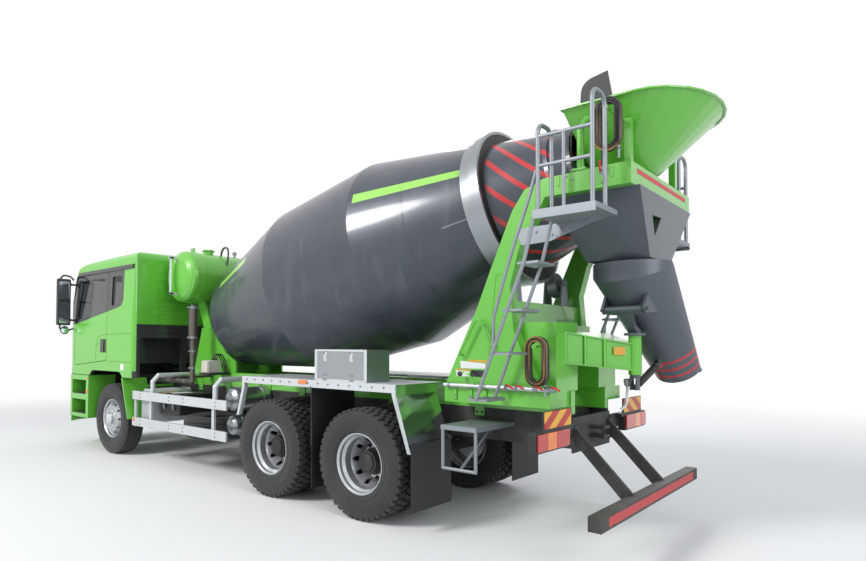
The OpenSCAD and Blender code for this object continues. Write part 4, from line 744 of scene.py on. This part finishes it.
def block_tyre(form, centre, count=44):
    """Drive tyre: two rows of blocks at the shoulders and two in the middle."""
    tyre_carcass(form, centre)
    for i in range(count):
        turn = math.tau * i / count
        for side in (-1, 1):
            skew = turn + (0.5 if side > 0 else 0) * math.tau / count
            lug(form, centre, skew, side * 0.104, 0.052, 0.06, 0.25 * side)
            lug(form, centre, skew + math.tau / count * 0.4, side * 0.036, 0.056, 0.058, -0.3 * side)


def rib_tyre(form, centre, count=60):
    """Steer tyre: five ribs with fine cross cuts."""
    tyre_carcass(form, centre)
    for i in range(count):
        for k, across in enumerate((-0.105, -0.053, 0.0, 0.053, 0.105)):
            turn = math.tau * (i + 0.25 * (k % 2)) / count
            lug(form, centre, turn, across, 0.0545, 0.044, 0.1)


def wheel_circle(form, centre, face, radius, start):
    """Ten places round a wheel, on a plane face out from its middle."""
    return [centre + Vector((x, form.out * face, z)) for x, z in round_points(radius, 10, start)]


def wheel_nuts(form, centre, face, radius):
    """Nuts with their studs on a bolt circle."""
    for point in wheel_circle(form, centre, face, radius, 0.5):
        form.bolt(point, OUTWARD, 0.016)
        form.turned([(0.009, 0.0), (0.009, 0.03), (0.006, 0.034)], point, OUTWARD, 8)


for side, out in SIDES.items():
    centre = at(0, STEER_OUT * out, HUB_Z)
    tread = Form(f"steer_tyre_{side}", tyre_rubber, out=out)
    rib_tyre(tread, centre)
    tread.build(f"front_{side}_wheel", 40, (f"tyre_front_{side}",))
    trim = Form(f"steer_hub_{side}", chrome, hub_black, out=out)
    wheel_nuts(trim, centre, 0.128, 0.165)
    trim.turned([(0.086, 0.15), (0.088, 0.166), (0.08, 0.182), (0.05, 0.192)], centre, OUTWARD)
    trim.turned([(0.137, 0.1275), (0.139, 0.134), (0.126, 0.137), (0.122, 0.1285)], centre, OUTWARD, 40,
                closed=True)
    trim.build(f"front_{side}_wheel")
    for row, x in DRIVEN.items():
        tread = Form(f"drive_tyres_{row}_{side}", tyre_rubber, out=out)
        for offset in (-TWIN_HALF, TWIN_HALF):
            block_tyre(tread, at(x, DRIVE_OUT * out + offset, HUB_Z))
        tread.build(f"{row}_{side}_wheels", 40, (f"tyres_{row}_{side}",))
        centre = at(x, DRIVE_OUT * out, HUB_Z)
        hub = Form(f"drive_hub_{row}_{side}", hub_black, chrome, out=out)
        wheel_nuts(hub, centre, 0.0152, 0.168)
        hub.turned([(0.134, 0.016), (0.136, 0.071), (0.112, 0.0715), (0.112, 0.166), (0.09, 0.168),
                    (0.087, 0.184), (0.07, 0.19)], centre, OUTWARD, 40)
        for point in wheel_circle(hub, centre, 0.0705, 0.122, 0.0):
            hub.bolt(point, OUTWARD, 0.009)
        hub.build(f"{row}_{side}_wheels")


# Cab

CAB_OUT = 1.245
# How far the pressed lines' beads of painted shade stand off the cab side, and their radius.
CREASE_OUT, CREASE_R = CAB_OUT + 0.0002, 0.0028


@fitting("cab", "black_plastic", gloss_black, sides=SIDES)
def drip_rail(form):
    """Black rail over the doors and down the front pillar."""
    section = [(1.2105, 2.818), (1.236, 2.82), (1.243, 2.83), (1.239, 2.88), (1.2085, 2.89)]
    outline = [(form.out * y, z) for y, z in section]
    form.slab(outline, -0.79, 1.1, place=aimed(at(0, 0, 0), AHEAD, OUTWARD))
    form.tube([(1.09, 1.222, 2.846), (1.17, 1.225, 2.8), (1.25, 1.226, 2.55), (1.33, 1.217, 2.25),
               (1.39, 1.19, 2.03)], 0.012, 8, per=5)


@fitting("{}_door", "black_plastic", gloss_black, crease_shade_green, sides=SIDES)
def door_handle(form):
    """Handle in its cup, the lock in front of it and the pressed line round both, as a bead of painted shade.
    """
    for span, r in (((0.04, 0.235, 1.722, 1.778), 0.02), ((0.04, 0.235, 1.566, 1.598), 0.012),
                    ((0.04, 0.078, 1.59, 1.73), 0.004), ((0.202, 0.235, 1.59, 1.73), 0.004)):
        form.side_plate(CAB_OUT - 0.001, span, 0.006, r=r)
    form.side_plate(CAB_OUT - 0.004, (0.095, 0.185, 1.575, 1.765), 0.02, r=0.012)
    form.turned([(0.012, 0), (0.012, 0.003), (0.009, 0.004)], (0.3, CAB_OUT - 0.001, 1.7), OUTWARD, 16)
    form.tube([(x, CREASE_OUT, z) for x, z in (
        (0.395, 1.45), (0.39, 1.58), (0.355, 1.74), (0.27, 1.815), (0.15, 1.838), (0.03, 1.846))],
        CREASE_R, 6, 1, 4)


@fitting("cab", "green_paint", crease_shade_green, blank_plate, sides=SIDES)
def cab_side_lines(form):
    """The pressed lines behind and below the door, as beads of painted shade, and a blank plate."""
    for line in (((0.005, 1.847), (-0.35, 1.854), (-0.765, 1.861)),
                 ((0.0, 1.435), (-0.4, 1.432), (-0.765, 1.43)),
                 ((1.235, 1.345), (1.22, 1.345), (1.205, 1.346))):
        form.tube([(x, CREASE_OUT, z) for x, z in line], CREASE_R, 6)
    form.side_plate(CAB_OUT - 0.0005, (-0.55, -0.44, 1.305, 1.4), 0.002, 1)


@fitting("cab", "black_plastic", black_plastic, mirror_glass, sides=SIDES)
def door_mirror(form):
    """Mirror glasses in their frames, the wide glass below and the arms to the pillar."""
    for low, high in ((2.042, 2.398), (2.442, 2.748)):
        form.end_plate(1.2625, (1.313, 1.487, low, high), 0.009, 1, 0.03)
    form.end_plate(1.329, (1.305, 1.495, 2.03, 2.77), 0.022, 0, 0.06, 1, 0.008)
    for z in (2.1, 2.7):
        form.turned([(0.03, -0.02), (0.03, 0.02), (0.024, 0.026)], (1.29, 1.305, z), OUTWARD, 20)
    for arm in (((1.3, 1.232, 2.775), (1.31, 1.29, 2.835), (1.31, 1.4, 2.845), (1.3, 1.45, 2.79)),
                ((1.3, 1.45, 2.02), (1.31, 1.44, 1.955), (1.3, 1.34, 1.925), (1.29, 1.243, 1.955))):
        form.tube(arm, 0.014, 10, per=5)
    bowl, look = (1.33, 1.375, 1.925), (-1, 0, 0.12)
    form.turned([(0.012, 0.0), (0.05, 0.006), (0.068, 0.024), (0.07, 0.046), (0.064, 0.05)], bowl, look, 28)
    form.turned([(0.061, 0.046), (0.058, 0.0525), (0.03, 0.056)], bowl, look, 28, 1)


@fitting("chassis", "black_plastic", black_plastic, orange_lens, sides=SIDES)
def entry_steps(form):
    """Ribbed treads, side markers and the reflector of the entry steps."""
    for z in (0.56, 0.88):
        form.box((0.74, 0.955, z + 0.0004), (1.255, 1.235, z + 0.006))
        for i in range(9):
            y = 0.972 + 0.031 * i
            form.box((0.75, y - 0.006, z + 0.005), (1.245, y + 0.006, z + 0.012))
    for low, high in ((0.905, 0.955), (1.12, 1.15)):
        form.side_plate(CAB_OUT - 0.0005, (0.668, 0.722, low, high), 0.009, 1, 0.008)
    form.end_plate(-0.7252, (1.163, 1.186, 0.545, 0.59), 0.006, 1, way=1)


@fitting("cab", "black_plastic", black_plastic, chassis_black)
def grille_blades(form):
    """Dark mesh panel behind the nose's slots, with a blade in each slot and the wiper arms."""
    form.box((1.425, -0.72, 1.1), (1.437, 0.72, 1.68), 0.003, 1)
    for i in range(6):
        z = 1.13 + 0.095 * i
        form.box((1.4372, -0.698, z + 0.012), (1.484, 0.698, z + 0.03), 0.004)
        for k in range(5):
            y = -0.56 + 0.28 * k
            form.box((1.4372, y - 0.008, z - 0.0005), (1.47, y + 0.008, z + 0.0505))
    for y in (0.62, -0.05):
        base, tip = at(1.452, y, 1.985), at(1.388, y - 0.3844, 2.3)
        form.turned([(0.022, -0.012), (0.022, 0.016), (0.016, 0.024)], base, (1, 0, 0.3), 20)
        form.tube([base + Vector((0.02, 0, 0)), base.lerp(tip, 0.5) + Vector((0.03, 0, 0.01)),
                   tip + Vector((0.024, 0, 0))], 0.007)
        form.tube([tip + Vector((0.012, 0.3, -0.004)), tip + Vector((0.022, 0, 0)),
                   tip + Vector((0.012, -0.3, 0.004))], 0.006)


@fitting("chassis", "black_plastic", clear_lens, chrome, orange_lens, sides=SIDES)
def headlamp(form):
    """Two reflector bowls and a corner lamp under one clear cover."""
    form.end_plate(1.4802, (0.765, 1.05, 0.628, 0.792), 0.01, 0, 0.03, 1)
    form.end_plate(1.4802, (1.056, 1.094, 0.632, 0.788), 0.006, 2, 0.012, 1)
    for y in (0.84, 0.975):
        bowl = (1.4885, y, 0.71)
        form.turned([(0.06, 0.0), (0.06, 0.004), (0.052, 0.006), (0.03, 0.0065)], bowl, AHEAD, 32, 1)
        form.turned([(0.026, 0.0), (0.026, 0.01), (0.018, 0.013)], bowl, AHEAD, 24)


# Water tank and stack

@fitting("chassis", "pale_metal", pale_metal, clear_lens, gloss_black)
def tank_gauge(form):
    """Sight tube on its pale bar at the tank's left end."""
    form.side_plate(0.905, (-1.275, -1.235, 2.425, 2.975), 0.006, r=0.006)
    for z, y in ((2.44, 0.76), (2.96, 0.78)):
        form.side_plate(y, (-1.27, -1.24, z - 0.018, z + 0.018), 0.148)
        form.turned([(0.014, 0.0), (0.014, 0.05), (0.01, 0.056)], (-1.3, 0.885, z), OUTWARD, 16, 2)
    form.tube([(-1.3, 0.918, 2.44), (-1.3, 0.918, 2.96)], 0.009, 12, 1)


@fitting("chassis", "green_paint", green_paint, gloss_black, galvanised)
def tank_fittings(form):
    """Filler neck with its cap, safety valve, strap bolts and the pipe to the pump."""
    form.turned([(0.075, 0.0), (0.075, 0.045), (0.095, 0.047), (0.095, 0.06), (0.07, 0.072)],
                (-1.27, 0.28, 3.074), UP, 36)
    for x, y in round_points(0.084, 6):
        form.bolt((-1.27 + x, 0.28 + y, 3.134), UP, 0.008, 2)
    form.turned([(0.02, 0.0), (0.02, 0.05), (0.034, 0.052), (0.034, 0.085), (0.012, 0.1)],
                (-1.27, -0.2, 3.076), UP, 24, 2)
    form.tube([(-1.27, 0.05, 3.072), (-1.29, 0.05, 3.15), (-1.38, 0.06, 3.2), (-1.49, 0.08, 3.16),
               (-1.56, 0.12, 3.02), (-1.62, 0.22, 2.72), (-1.7, 0.34, 2.38), (-1.76, 0.385, 2.05)],
              0.016, 10, 1, 6)
    for y in (-0.57, 0.57):
        for x in (-1.32, -1.22):
            form.bolt((x, y, 3.1315), UP, 0.008, 2)


@fitting("chassis", "galvanised", galvanised, exhaust_steel)
def stack_clamps(form):
    """Band clamps on the exhaust stack, and the bellows in its lead pipe."""
    x, y = -1.62, 0.75
    for z, r in ((1.36, 0.037), (1.6, 0.037), (1.795, 0.0605), (2.225, 0.0605)):
        form.band(r + 0.0002, r + 0.004, 0.014, (x, y, z))
        form.box((x - 0.02, y + r + 0.002, z - 0.01), (x + 0.02, y + r + 0.022, z + 0.01))
        form.bolt((x + 0.02, y + r + 0.012, z), AHEAD, 0.007)
    for along in (-1.45, -1.02, -0.7):
        form.band(0.0373, 0.041, 0.012, (along, y, 1.165), AHEAD)
    for i in range(7):
        fold = [(0.0372, -0.004), (0.044, 0.0), (0.0372, 0.004)]
        form.turned(fold, (-1.3 + 0.014 * i, y, 1.165), AHEAD, 32, 1, True)


# Chassis

RAIL_OUT = 0.425


@fitting("chassis", "black_chassis", chassis_black, green_paint)
def frame_bolts(form):
    """Rail rivets, the plates that tie the mixer's subframe to the rails, and their bolts."""
    for out in SIDES.values():
        form.out = out
        for i in range(62):
            for z in (0.845, 1.055):
                form.turned([(0.011, -0.001), (0.01, 0.005), (0.004, 0.008)],
                            (1.3 - 0.135 * i, RAIL_OUT, z), OUTWARD, 8)
        for x in (-1.35, -2.05, -2.95, -3.62, -5.1, -5.55, -6.2):
            form.side_plate(RAIL_OUT + 0.0002, (x - 0.055, x + 0.055, 1.02, 1.24), 0.01, 1, 0.01)
            for dx in (-0.03, 0.03):
                for z in (1.055, 1.205):
                    form.bolt((x + dx, RAIL_OUT + 0.01, z), OUTWARD, 0.01)


def axle_gear(row, x):
    """Brake chambers, spring seats with their U bolts, and the air pipes of one driven axle."""
    form = Form(f"axle_gear_{row}", chassis_black, galvanised, gloss_black)
    for out in SIDES.values():
        form.out = out
        form.turned([(0.03, -0.1), (0.03, 0.0), (0.085, 0.005), (0.092, 0.03), (0.092, 0.055),
                     (0.098, 0.06), (0.098, 0.072), (0.092, 0.077), (0.085, 0.2), (0.05, 0.225)],
                    (x - 0.17, 0.34, HUB_Z + 0.13), (-1, 0, 0.25))
        for dx in (-0.045, 0.045):
            form.tube([(x + dx, y, z) for y, z in ((0.43, 0.6), (0.43, 0.675), (0.54, 0.675), (0.54, 0.6))],
                      0.009, 8, 1)
        form.box((x - 0.075, 0.42, 0.661), (x + 0.075, 0.55, 0.672))
        form.tube([(x - 0.33, 0.34, HUB_Z + 0.2), (x - 0.36, 0.33, 0.86), (x - 0.25, 0.3, 0.98)],
                  0.009, 8, 2, 6)
    form.build("chassis")


for row, x in DRIVEN.items():
    axle_gear(row, x)


# Boxes on the left side

FLAP_OUT = 1.1995


@fitting("chassis", "black_plastic", black_plastic, galvanised, blank_plate, amber_plate, beige_box)
def side_boxes(form):
    """Battery cover with its straps and blank markers, and the pale control box over it."""
    form.box((-1.76, 0.43, 0.705), (-1.24, 1.03, 0.985), 0.012)
    form.box((-1.775, 0.425, 0.965), (-1.225, 1.045, 1.005), 0.01)
    for x in (-1.62, -1.38):
        form.box((x - 0.02, 0.6, 1.0045), (x + 0.02, 1.049, 1.008), 0.001, 1)
        form.box((x - 0.02, 1.0445, 0.78), (x + 0.02, 1.0485, 1.006), 0.001, 1)
        form.side_plate(1.048, (x - 0.018, x + 0.018, 0.8, 0.87), 0.012, 1)
    form.box((-1.34, 0.78, 1.0045), (-1.235, 1.02, 1.0065), 0.0005, 3)
    form.box((-1.6, 0.7, 1.0045), (-1.4, 0.98, 1.0065), 0.0005, 2)
    form.box((-2.1, 0.43, 1.272), (-1.86, 0.8, 1.3), 0.004)
    form.box((-2.06, 0.56, 1.2995), (-1.9, 0.78, 1.475), 0.01, 4)
    form.side_plate(0.7795, (-2.052, -1.908, 1.308, 1.466), 0.006, 4, 0.01)
    for x in (-2.03, -1.98, -1.93):
        form.turned([(0.016, 0.0), (0.016, 0.012), (0.012, 0.014), (0.012, 0.03)], (x, 0.62, 1.4745), UP, 12)
        form.tube([(x, 0.62, 1.5), (x, 0.58, 1.56), (x + 0.02, 0.5, 1.53), (x + 0.03, 0.44, 1.4),
                   (x + 0.03, 0.425, 1.29)], 0.008, 8, per=5)


@fitting("chassis", "box_aluminium", pale_metal, galvanised)
def toolbox_trim(form):
    """Corner angles and the hinge leaves of the side box."""
    for x0, x1 in ((-5.4125, -5.375), (-4.715, -4.6775)):
        form.side_slab(FLAP_OUT, [(x0, 1.332), (x1, 1.332), (x1, 1.648), (x0, 1.648)], 0.003)
    for low, high in ((1.629, 1.6505), (1.3295, 1.351)):
        form.side_plate(FLAP_OUT, (-5.375, -4.715, low, high), 0.003, r=0.001)
    for x in (-5.21, -4.83):
        form.side_plate(1.2022, (x - 0.03, x + 0.03, 1.334, 1.349), 0.003, 1, 0.003)
    for y in (0.9, 0.98, 1.06, 1.14):
        for x, way in ((-5.4105, BACK), (-4.6795, AHEAD)):
            form.bolt((x, y, 1.35), way, 0.007, 1)


@fitting("box_flap", "box_aluminium", chrome, galvanised)
def toolbox_catches(form):
    """The catches on the side box's flap."""
    for x in (-5.206, -4.833):
        for y, half, low, high, r, thick, kind in (
                (FLAP_OUT, 0.022, 1.53, 1.622, 0.004, 0.003, 0), (1.202, 0.014, 1.548, 1.618, 0.006, 0.01, 0),
                (1.211, 0.01, 1.6, 1.624, 0.004, 0.006, 1), (FLAP_OUT, 0.03, 1.38, 1.405, 0.003, 0.003, 1)):
            form.side_plate(y, (x - half, x + half, low, high), thick, kind, r)


@fitting("chassis", "galvanised", galvanised, orange_lens, pale_metal, sides=SIDES)
def fender_fittings(form):
    """Bolts along the deck's edge, a marker lamp and the deck's tread ribs."""
    for i in range(16):
        form.bolt((-3.55 - 0.15 * i, 1.2275, 1.296), OUTWARD, 0.008)
    form.side_plate(1.2275, (-4.585, -4.46, 1.285, 1.325), 0.012, 1, 0.008)
    for i in range(15):
        x = -3.6 - 0.155 * i
        form.box((x - 0.05, 0.66, 1.3298), (x + 0.05, 1.19, 1.3325), 0.001, 2)


@fitting("chassis", "pale_metal", pale_metal, galvanised, orange_lens, sides=SIDES)
def guard_fittings(form):
    """End caps and bolts of the side guards."""
    face = 1.1875
    for z in (0.567, 0.95):
        for x, way in ((-0.7255, 1), (-3.0795, -1)):
            form.end_plate(x, (1.161, 1.187, z - 0.058, z + 0.058), 0.006, 0, 0.006, way)
        for x in (-0.95, -1.75, -2.1, -2.85):
            for dz in (-0.025, 0.025):
                form.bolt((x, face, z + dz), OUTWARD, 0.009, 1)
    form.side_plate(face, (-0.8, -0.745, 0.575, 0.615), 0.01, 2, 0.006)


# Rear stand, ladder and hopper

STAND_OUT = 0.7898
PIPE_X = -7.5475


@fitting("chassis", "galvanised", galvanised, sides=SIDES)
def handrail(form):
    """The rail that sweeps from the ladder's lower step up to the platform's front hoop."""
    sweep = [form.spot(p) for p in ((-6.8, 1.188, 1.92), (-6.855, 1.189, 2.1), (-6.958, 1.19, 2.42),
                                    (-7.115, 1.195, 2.84), (-7.185, 1.199, 3.06))]
    form.tube([(-6.8, 1.188, 1.638), (-6.797, 1.188, 1.85), *smooth_path(sweep, 5)], 0.014)
    for x, z in ((-7.11, 2.36), (-6.97, 1.99), (-6.86, 1.64), (-6.65, 1.25)):
        for i in range(6):
            dx = -0.075 + 0.03 * i
            form.box((x + dx - 0.004, 0.92, z - 0.0005), (x + dx + 0.004, 1.18, z + 0.004), 0.001)
    for i in range(15):
        x = -7.185 - 0.032 * i
        form.box((x - 0.006, 0.83, 2.7495), (x + 0.006, 1.19, 2.755), 0.001)
    for x, z in ((-7.124, 2.62), (-7.208, 2.665), (-7.279, 2.697), (-7.406, 2.697), (-7.3, 2.65),
                 (-7.163, 2.595), (-6.92, 2.6), (-6.98, 2.66)):
        form.bolt((x, 0.7998, z), OUTWARD, 0.011)


@fitting("chassis", "green_paint", blank_plate, amber_plate, gloss_black)
def stand_plates(form):
    """Bare white, amber and dark label plates on the stand's left side and at the chute's post."""
    for kind, outline in (
            (0, [(-6.22, 1.485), (-6.49, 1.487), (-6.478, 1.535), (-6.212, 1.555)]),
            (0, [(-6.175, 1.41), (-6.31, 1.412), (-6.31, 1.462), (-6.162, 1.466)]),
            (1, [(-6.165, 1.468), (-6.33, 1.466), (-6.33, 1.478), (-6.16, 1.482)]),
            (2, [(-6.315, 1.412), (-6.47, 1.411), (-6.475, 1.472), (-6.335, 1.474)])):
        form.side_slab(STAND_OUT, outline, 0.002, kind)
    form.side_slab(0.7899, [(-6.3, 1.546), (-6.5, 1.544), (-6.5, 1.563), (-6.3, 1.567)], 0.002, 1)
    slope = math.atan2(0.445, 0.42)
    normal = (-math.sin(slope), math.cos(slope), 0)
    place = aimed(at(-7.4, 0.055 + 0.12 * math.tan(slope), 1.655), normal, UP)
    form.slab(rounded(-0.035, 0.035, -0.105, 0.0), 0.0002, 0.002, 0.0006, 1, place)


@fitting("chassis", "green_paint", green_paint, gloss_black, galvanised, red_tape)
def stand_fittings(form):
    """Grab loop, the drum's control levers, the valves' red handles and the pipe's clips."""
    form.tube([(-6.235, 0.788, 1.615), (-6.245, 0.85, 1.625), (-6.33, 0.852, 1.77), (-6.4, 0.852, 1.895),
               (-6.452, 0.852, 1.925), (-6.495, 0.852, 1.86), (-6.57, 0.85, 1.7), (-6.585, 0.788, 1.685)],
              0.011, 10, per=6)
    form.tube([(-6.42, 0.8, 1.3), (-6.4, 0.855, 1.36), (-6.365, 0.86, 1.42), (-6.3, 0.86, 1.455),
               (-6.262, 0.86, 1.44)], 0.007, 8, per=6)
    form.turned([(0.012, -0.022), (0.022, -0.012), (0.024, 0.0), (0.02, 0.014), (0.008, 0.022)],
                (-6.255, 0.86, 1.437), (0.6, 0, -0.4), 20, 1)
    for x in (-6.735, -6.84):
        form.tube([(x - 0.022, 0.73, 1.3), (x - 0.006, 0.73, 1.4)], 0.008, 8, 2)
        form.turned([(0.01, 0.0), (0.02, 0.02), (0.026, 0.06), (0.026, 0.1), (0.018, 0.125), (0.006, 0.132)],
                    (x - 0.007, 0.73, 1.39), (0.1, 0, 1), 20, 1)
    form.box((-6.885, 0.672, 1.2998), (-6.715, 0.785, 1.312), 0.003)
    form.turned([(0.022, 0.0), (0.022, 0.004), (0.014, 0.006)], (-6.765, 0.6708, 1.575), OUTWARD, 20, 1)
    for x in (-6.715, -6.815, -6.985, -7.135):
        form.turned([(0.02, -0.02), (0.024, 0.0), (0.02, 0.02), (0.012, 0.022), (0.012, 0.034)],
                    (x, 0.83, 1.33), (0, 0.2, 1), 16, 2)
        form.tube([(x, 0.842, 1.352), (x - 0.045, 0.866, 1.352), (x - 0.085, 0.868, 1.33)], 0.009, 8, 3)
    for x in (-6.12, -6.5, -7.0):
        form.band(0.0183, 0.022, 0.012, (x, 0.83, 1.33), AHEAD, 20, 2)
    for x in (-6.16, -6.33, -6.48):
        form.side_plate(STAND_OUT, (x - 0.02, x + 0.02, 1.2, 1.3), 0.016)
        form.bolt((x, 0.8055, 1.235), OUTWARD, 0.009, 2)


@fitting("chassis", "green_paint", green_paint, galvanised, red_tape, gloss_black)
def hopper_fittings(form):
    """Flange bolts, ribs, the red water valve and wash pipes of the charging hopper."""
    for out in SIDES.values():
        form.out = out
        for dx in (-0.045, 0.045):
            for dy in (-0.035, 0.035):
                form.bolt((-7.34 + dx, 0.725 + dy, 3.1455), UP, 0.01, 1)
        for x in (-7.0, -7.18, -7.45, -7.62):
            form.side_plate(STAND_OUT, (x - 0.012, x + 0.012, 3.02, 3.1), 0.0055)
    form.out = 1
    for x, z in ((-7.245, 3.09), (-7.3, 3.06)):
        form.bolt((x, STAND_OUT, z), OUTWARD, 0.01, 1)
    form.tube([(PIPE_X, y, z) for y, z in ((0.788, 2.985), (0.8, 2.988), (0.807, 3.005), (0.807, 3.04))],
              0.012, 10, per=5)
    form.turned([(0.014, 0.0), (0.014, 0.02), (0.022, 0.022), (0.022, 0.05), (0.014, 0.052), (0.012, 0.075)],
                (PIPE_X, 0.807, 3.035), UP, 20, 1)
    form.tube([(PIPE_X, y, z) for y, z in ((0.828, 3.07), (0.848, 3.08), (0.85, 3.15))], 0.009, 8, 2)
    form.turned([(0.01, -0.03), (0.036, -0.02), (0.04, 0.0), (0.036, 0.02), (0.012, 0.03)],
                (-7.5, 0.775, 3.585), UP, 20, 2)
    form.tube([(-7.5, 0.775, 3.56), (-7.52, 0.72, 3.5), (-7.53, 0.64, 3.5)], 0.012, 8, 1)


@fitting("chassis", "lamp_red", hazard_sheet, red_lens, orange_lens, red_tape, chassis_black)
def tail_markers(form):
    """Hazard sheets, lamp glasses and red tape across the truck's rear."""
    lamps_x, guard_x = -7.2002, -7.7002
    for out in SIDES.values():
        form.out = out
        for y0, y1, z0, z1, thick, kind in (
                (0.615, 1.105, 1.04, 1.175, 0.003, 0), (0.665, 0.895, 0.875, 1.01, 0.016, 1),
                (0.905, 1.065, 0.875, 1.01, 0.016, 2), (1.075, 1.225, 0.875, 1.01, 0.016, 1)):
            form.end_plate(lamps_x, (y0, y1, z0, z1), thick, kind, 0.008)
    form.out = 1
    form.end_plate(-7.7654, (-0.655, 0.655, 3.048, 3.088), 0.001, 3, 0.002)
    form.end_plate(guard_x, (-1.1, 1.1, 0.385, 0.455), 0.001, 3, 0.002)
    for y in (1.17, -1.17):
        form.end_plate(guard_x, (y - 0.05, y + 0.05, 0.385, 0.455), 0.001, 4, 0.002)


@fitting("swivel", "drum_paint", blank_plate, galvanised)
def chute_lock(form):
    """White lock lever with its fitting under the chute's post."""
    form.turned([(0.018, -0.03), (0.026, -0.02), (0.026, 0.03), (0.018, 0.036)],
                (-7.45, 0.0, 1.372), (0.1, 0.1, 0.8), 20, 1)
    form.box((-7.4865, -0.012, 1.355), (-7.46, 0.012, 1.39), 0.002, 1)
    form.tube([(-7.45, -0.002, 1.36), (-7.448, -0.01, 1.32), (-7.44, -0.02, 1.22), (-7.425, -0.03, 1.17),
               (-7.39, -0.01, 1.13)], 0.012, 10, per=5)


# Stowed hoses

HOSE_D, PITCH, LEG = 0.015, 0.0165, 0.11
COLUMNS, LAYERS, PER_TURN = 4, 3, 28
FIRST_R, HALF_WIDE = 0.0625, 0.033


def coil_point(turns):
    """Where the hose is after so many turns, from its hook's side of the coil: rearward, out and up."""
    layer, column = divmod(turns, COLUMNS)
    climb = min(1.0, column / 0.25) if layer else 1.0
    radius = FIRST_R + PITCH * (max(layer - 1, 0) + (climb if layer else 0))
    out = PITCH * (COLUMNS - column if layer % 2 else column)
    t = turns % 1.0
    if t < 0.15:
        return radius, out, LEG * (t / 0.075 - 1)
    if t < 0.5:
        bend = math.pi * (t - 0.15) / 0.35
        return radius * math.cos(bend), out, LEG + radius * math.sin(bend)
    if t < 0.65:
        return -radius, out, LEG * (1 - (t - 0.5) / 0.075)
    bend = math.pi * (1 + (t - 0.65) / 0.35)
    return radius * math.cos(bend), out, radius * math.sin(bend) - LEG


def stowed_hose(name, middle, path):
    """A wash hose wound on its hook, from its fitting to the nozzle that hangs at its end."""
    first = middle - Vector((0, HALF_WIDE, 0))
    last_turn = COLUMNS * LAYERS - 0.35
    path += [first + Vector(coil_point(i / PER_TURN)) for i in range(int(last_turn * PER_TURN))]
    end = first + Vector(coil_point(last_turn))
    path += [end + Vector((0, 0.002 * i, -0.024 * i)) for i in range(5)]
    cord = Form(name, hose_rubber)
    cord.tube(path, HOSE_D / 2, 10)
    piece = cord.build("chassis", stands_for=("hose_coils",))
    nozzle = Form(f"{name}_nozzle", galvanised, gloss_black)
    way = path[-1] - path[-2]
    nozzle.turned([(0.01, -0.012), (0.012, -0.01), (0.012, 0.02), (0.009, 0.024), (0.007, 0.07),
                   (0.01, 0.074), (0.01, 0.086), (0.005, 0.088)], path[-1], way, 20)
    nozzle.turned([(0.0122, 0.0), (0.0135, 0.002), (0.0135, 0.014), (0.0122, 0.016)], path[-1], way, 20, 1)
    tip = nozzle.build("chassis")


low_exit = [at(-6.9375, y, z) for y, z in ((0.672, 1.405), (0.7, 1.405), (0.73, 1.406), (0.757, 1.411),
                                            (0.78, 1.421), (0.794, 1.436))]
stowed_hose("low_hose", at(-7.0, 0.832, 1.565), low_exit)
high_exit = [at(PIPE_X, 0.807, 3.108 + 0.025 * i) for i in range(8)]
stowed_hose("high_hose", at(-7.61, 0.84, 3.42), high_exit)
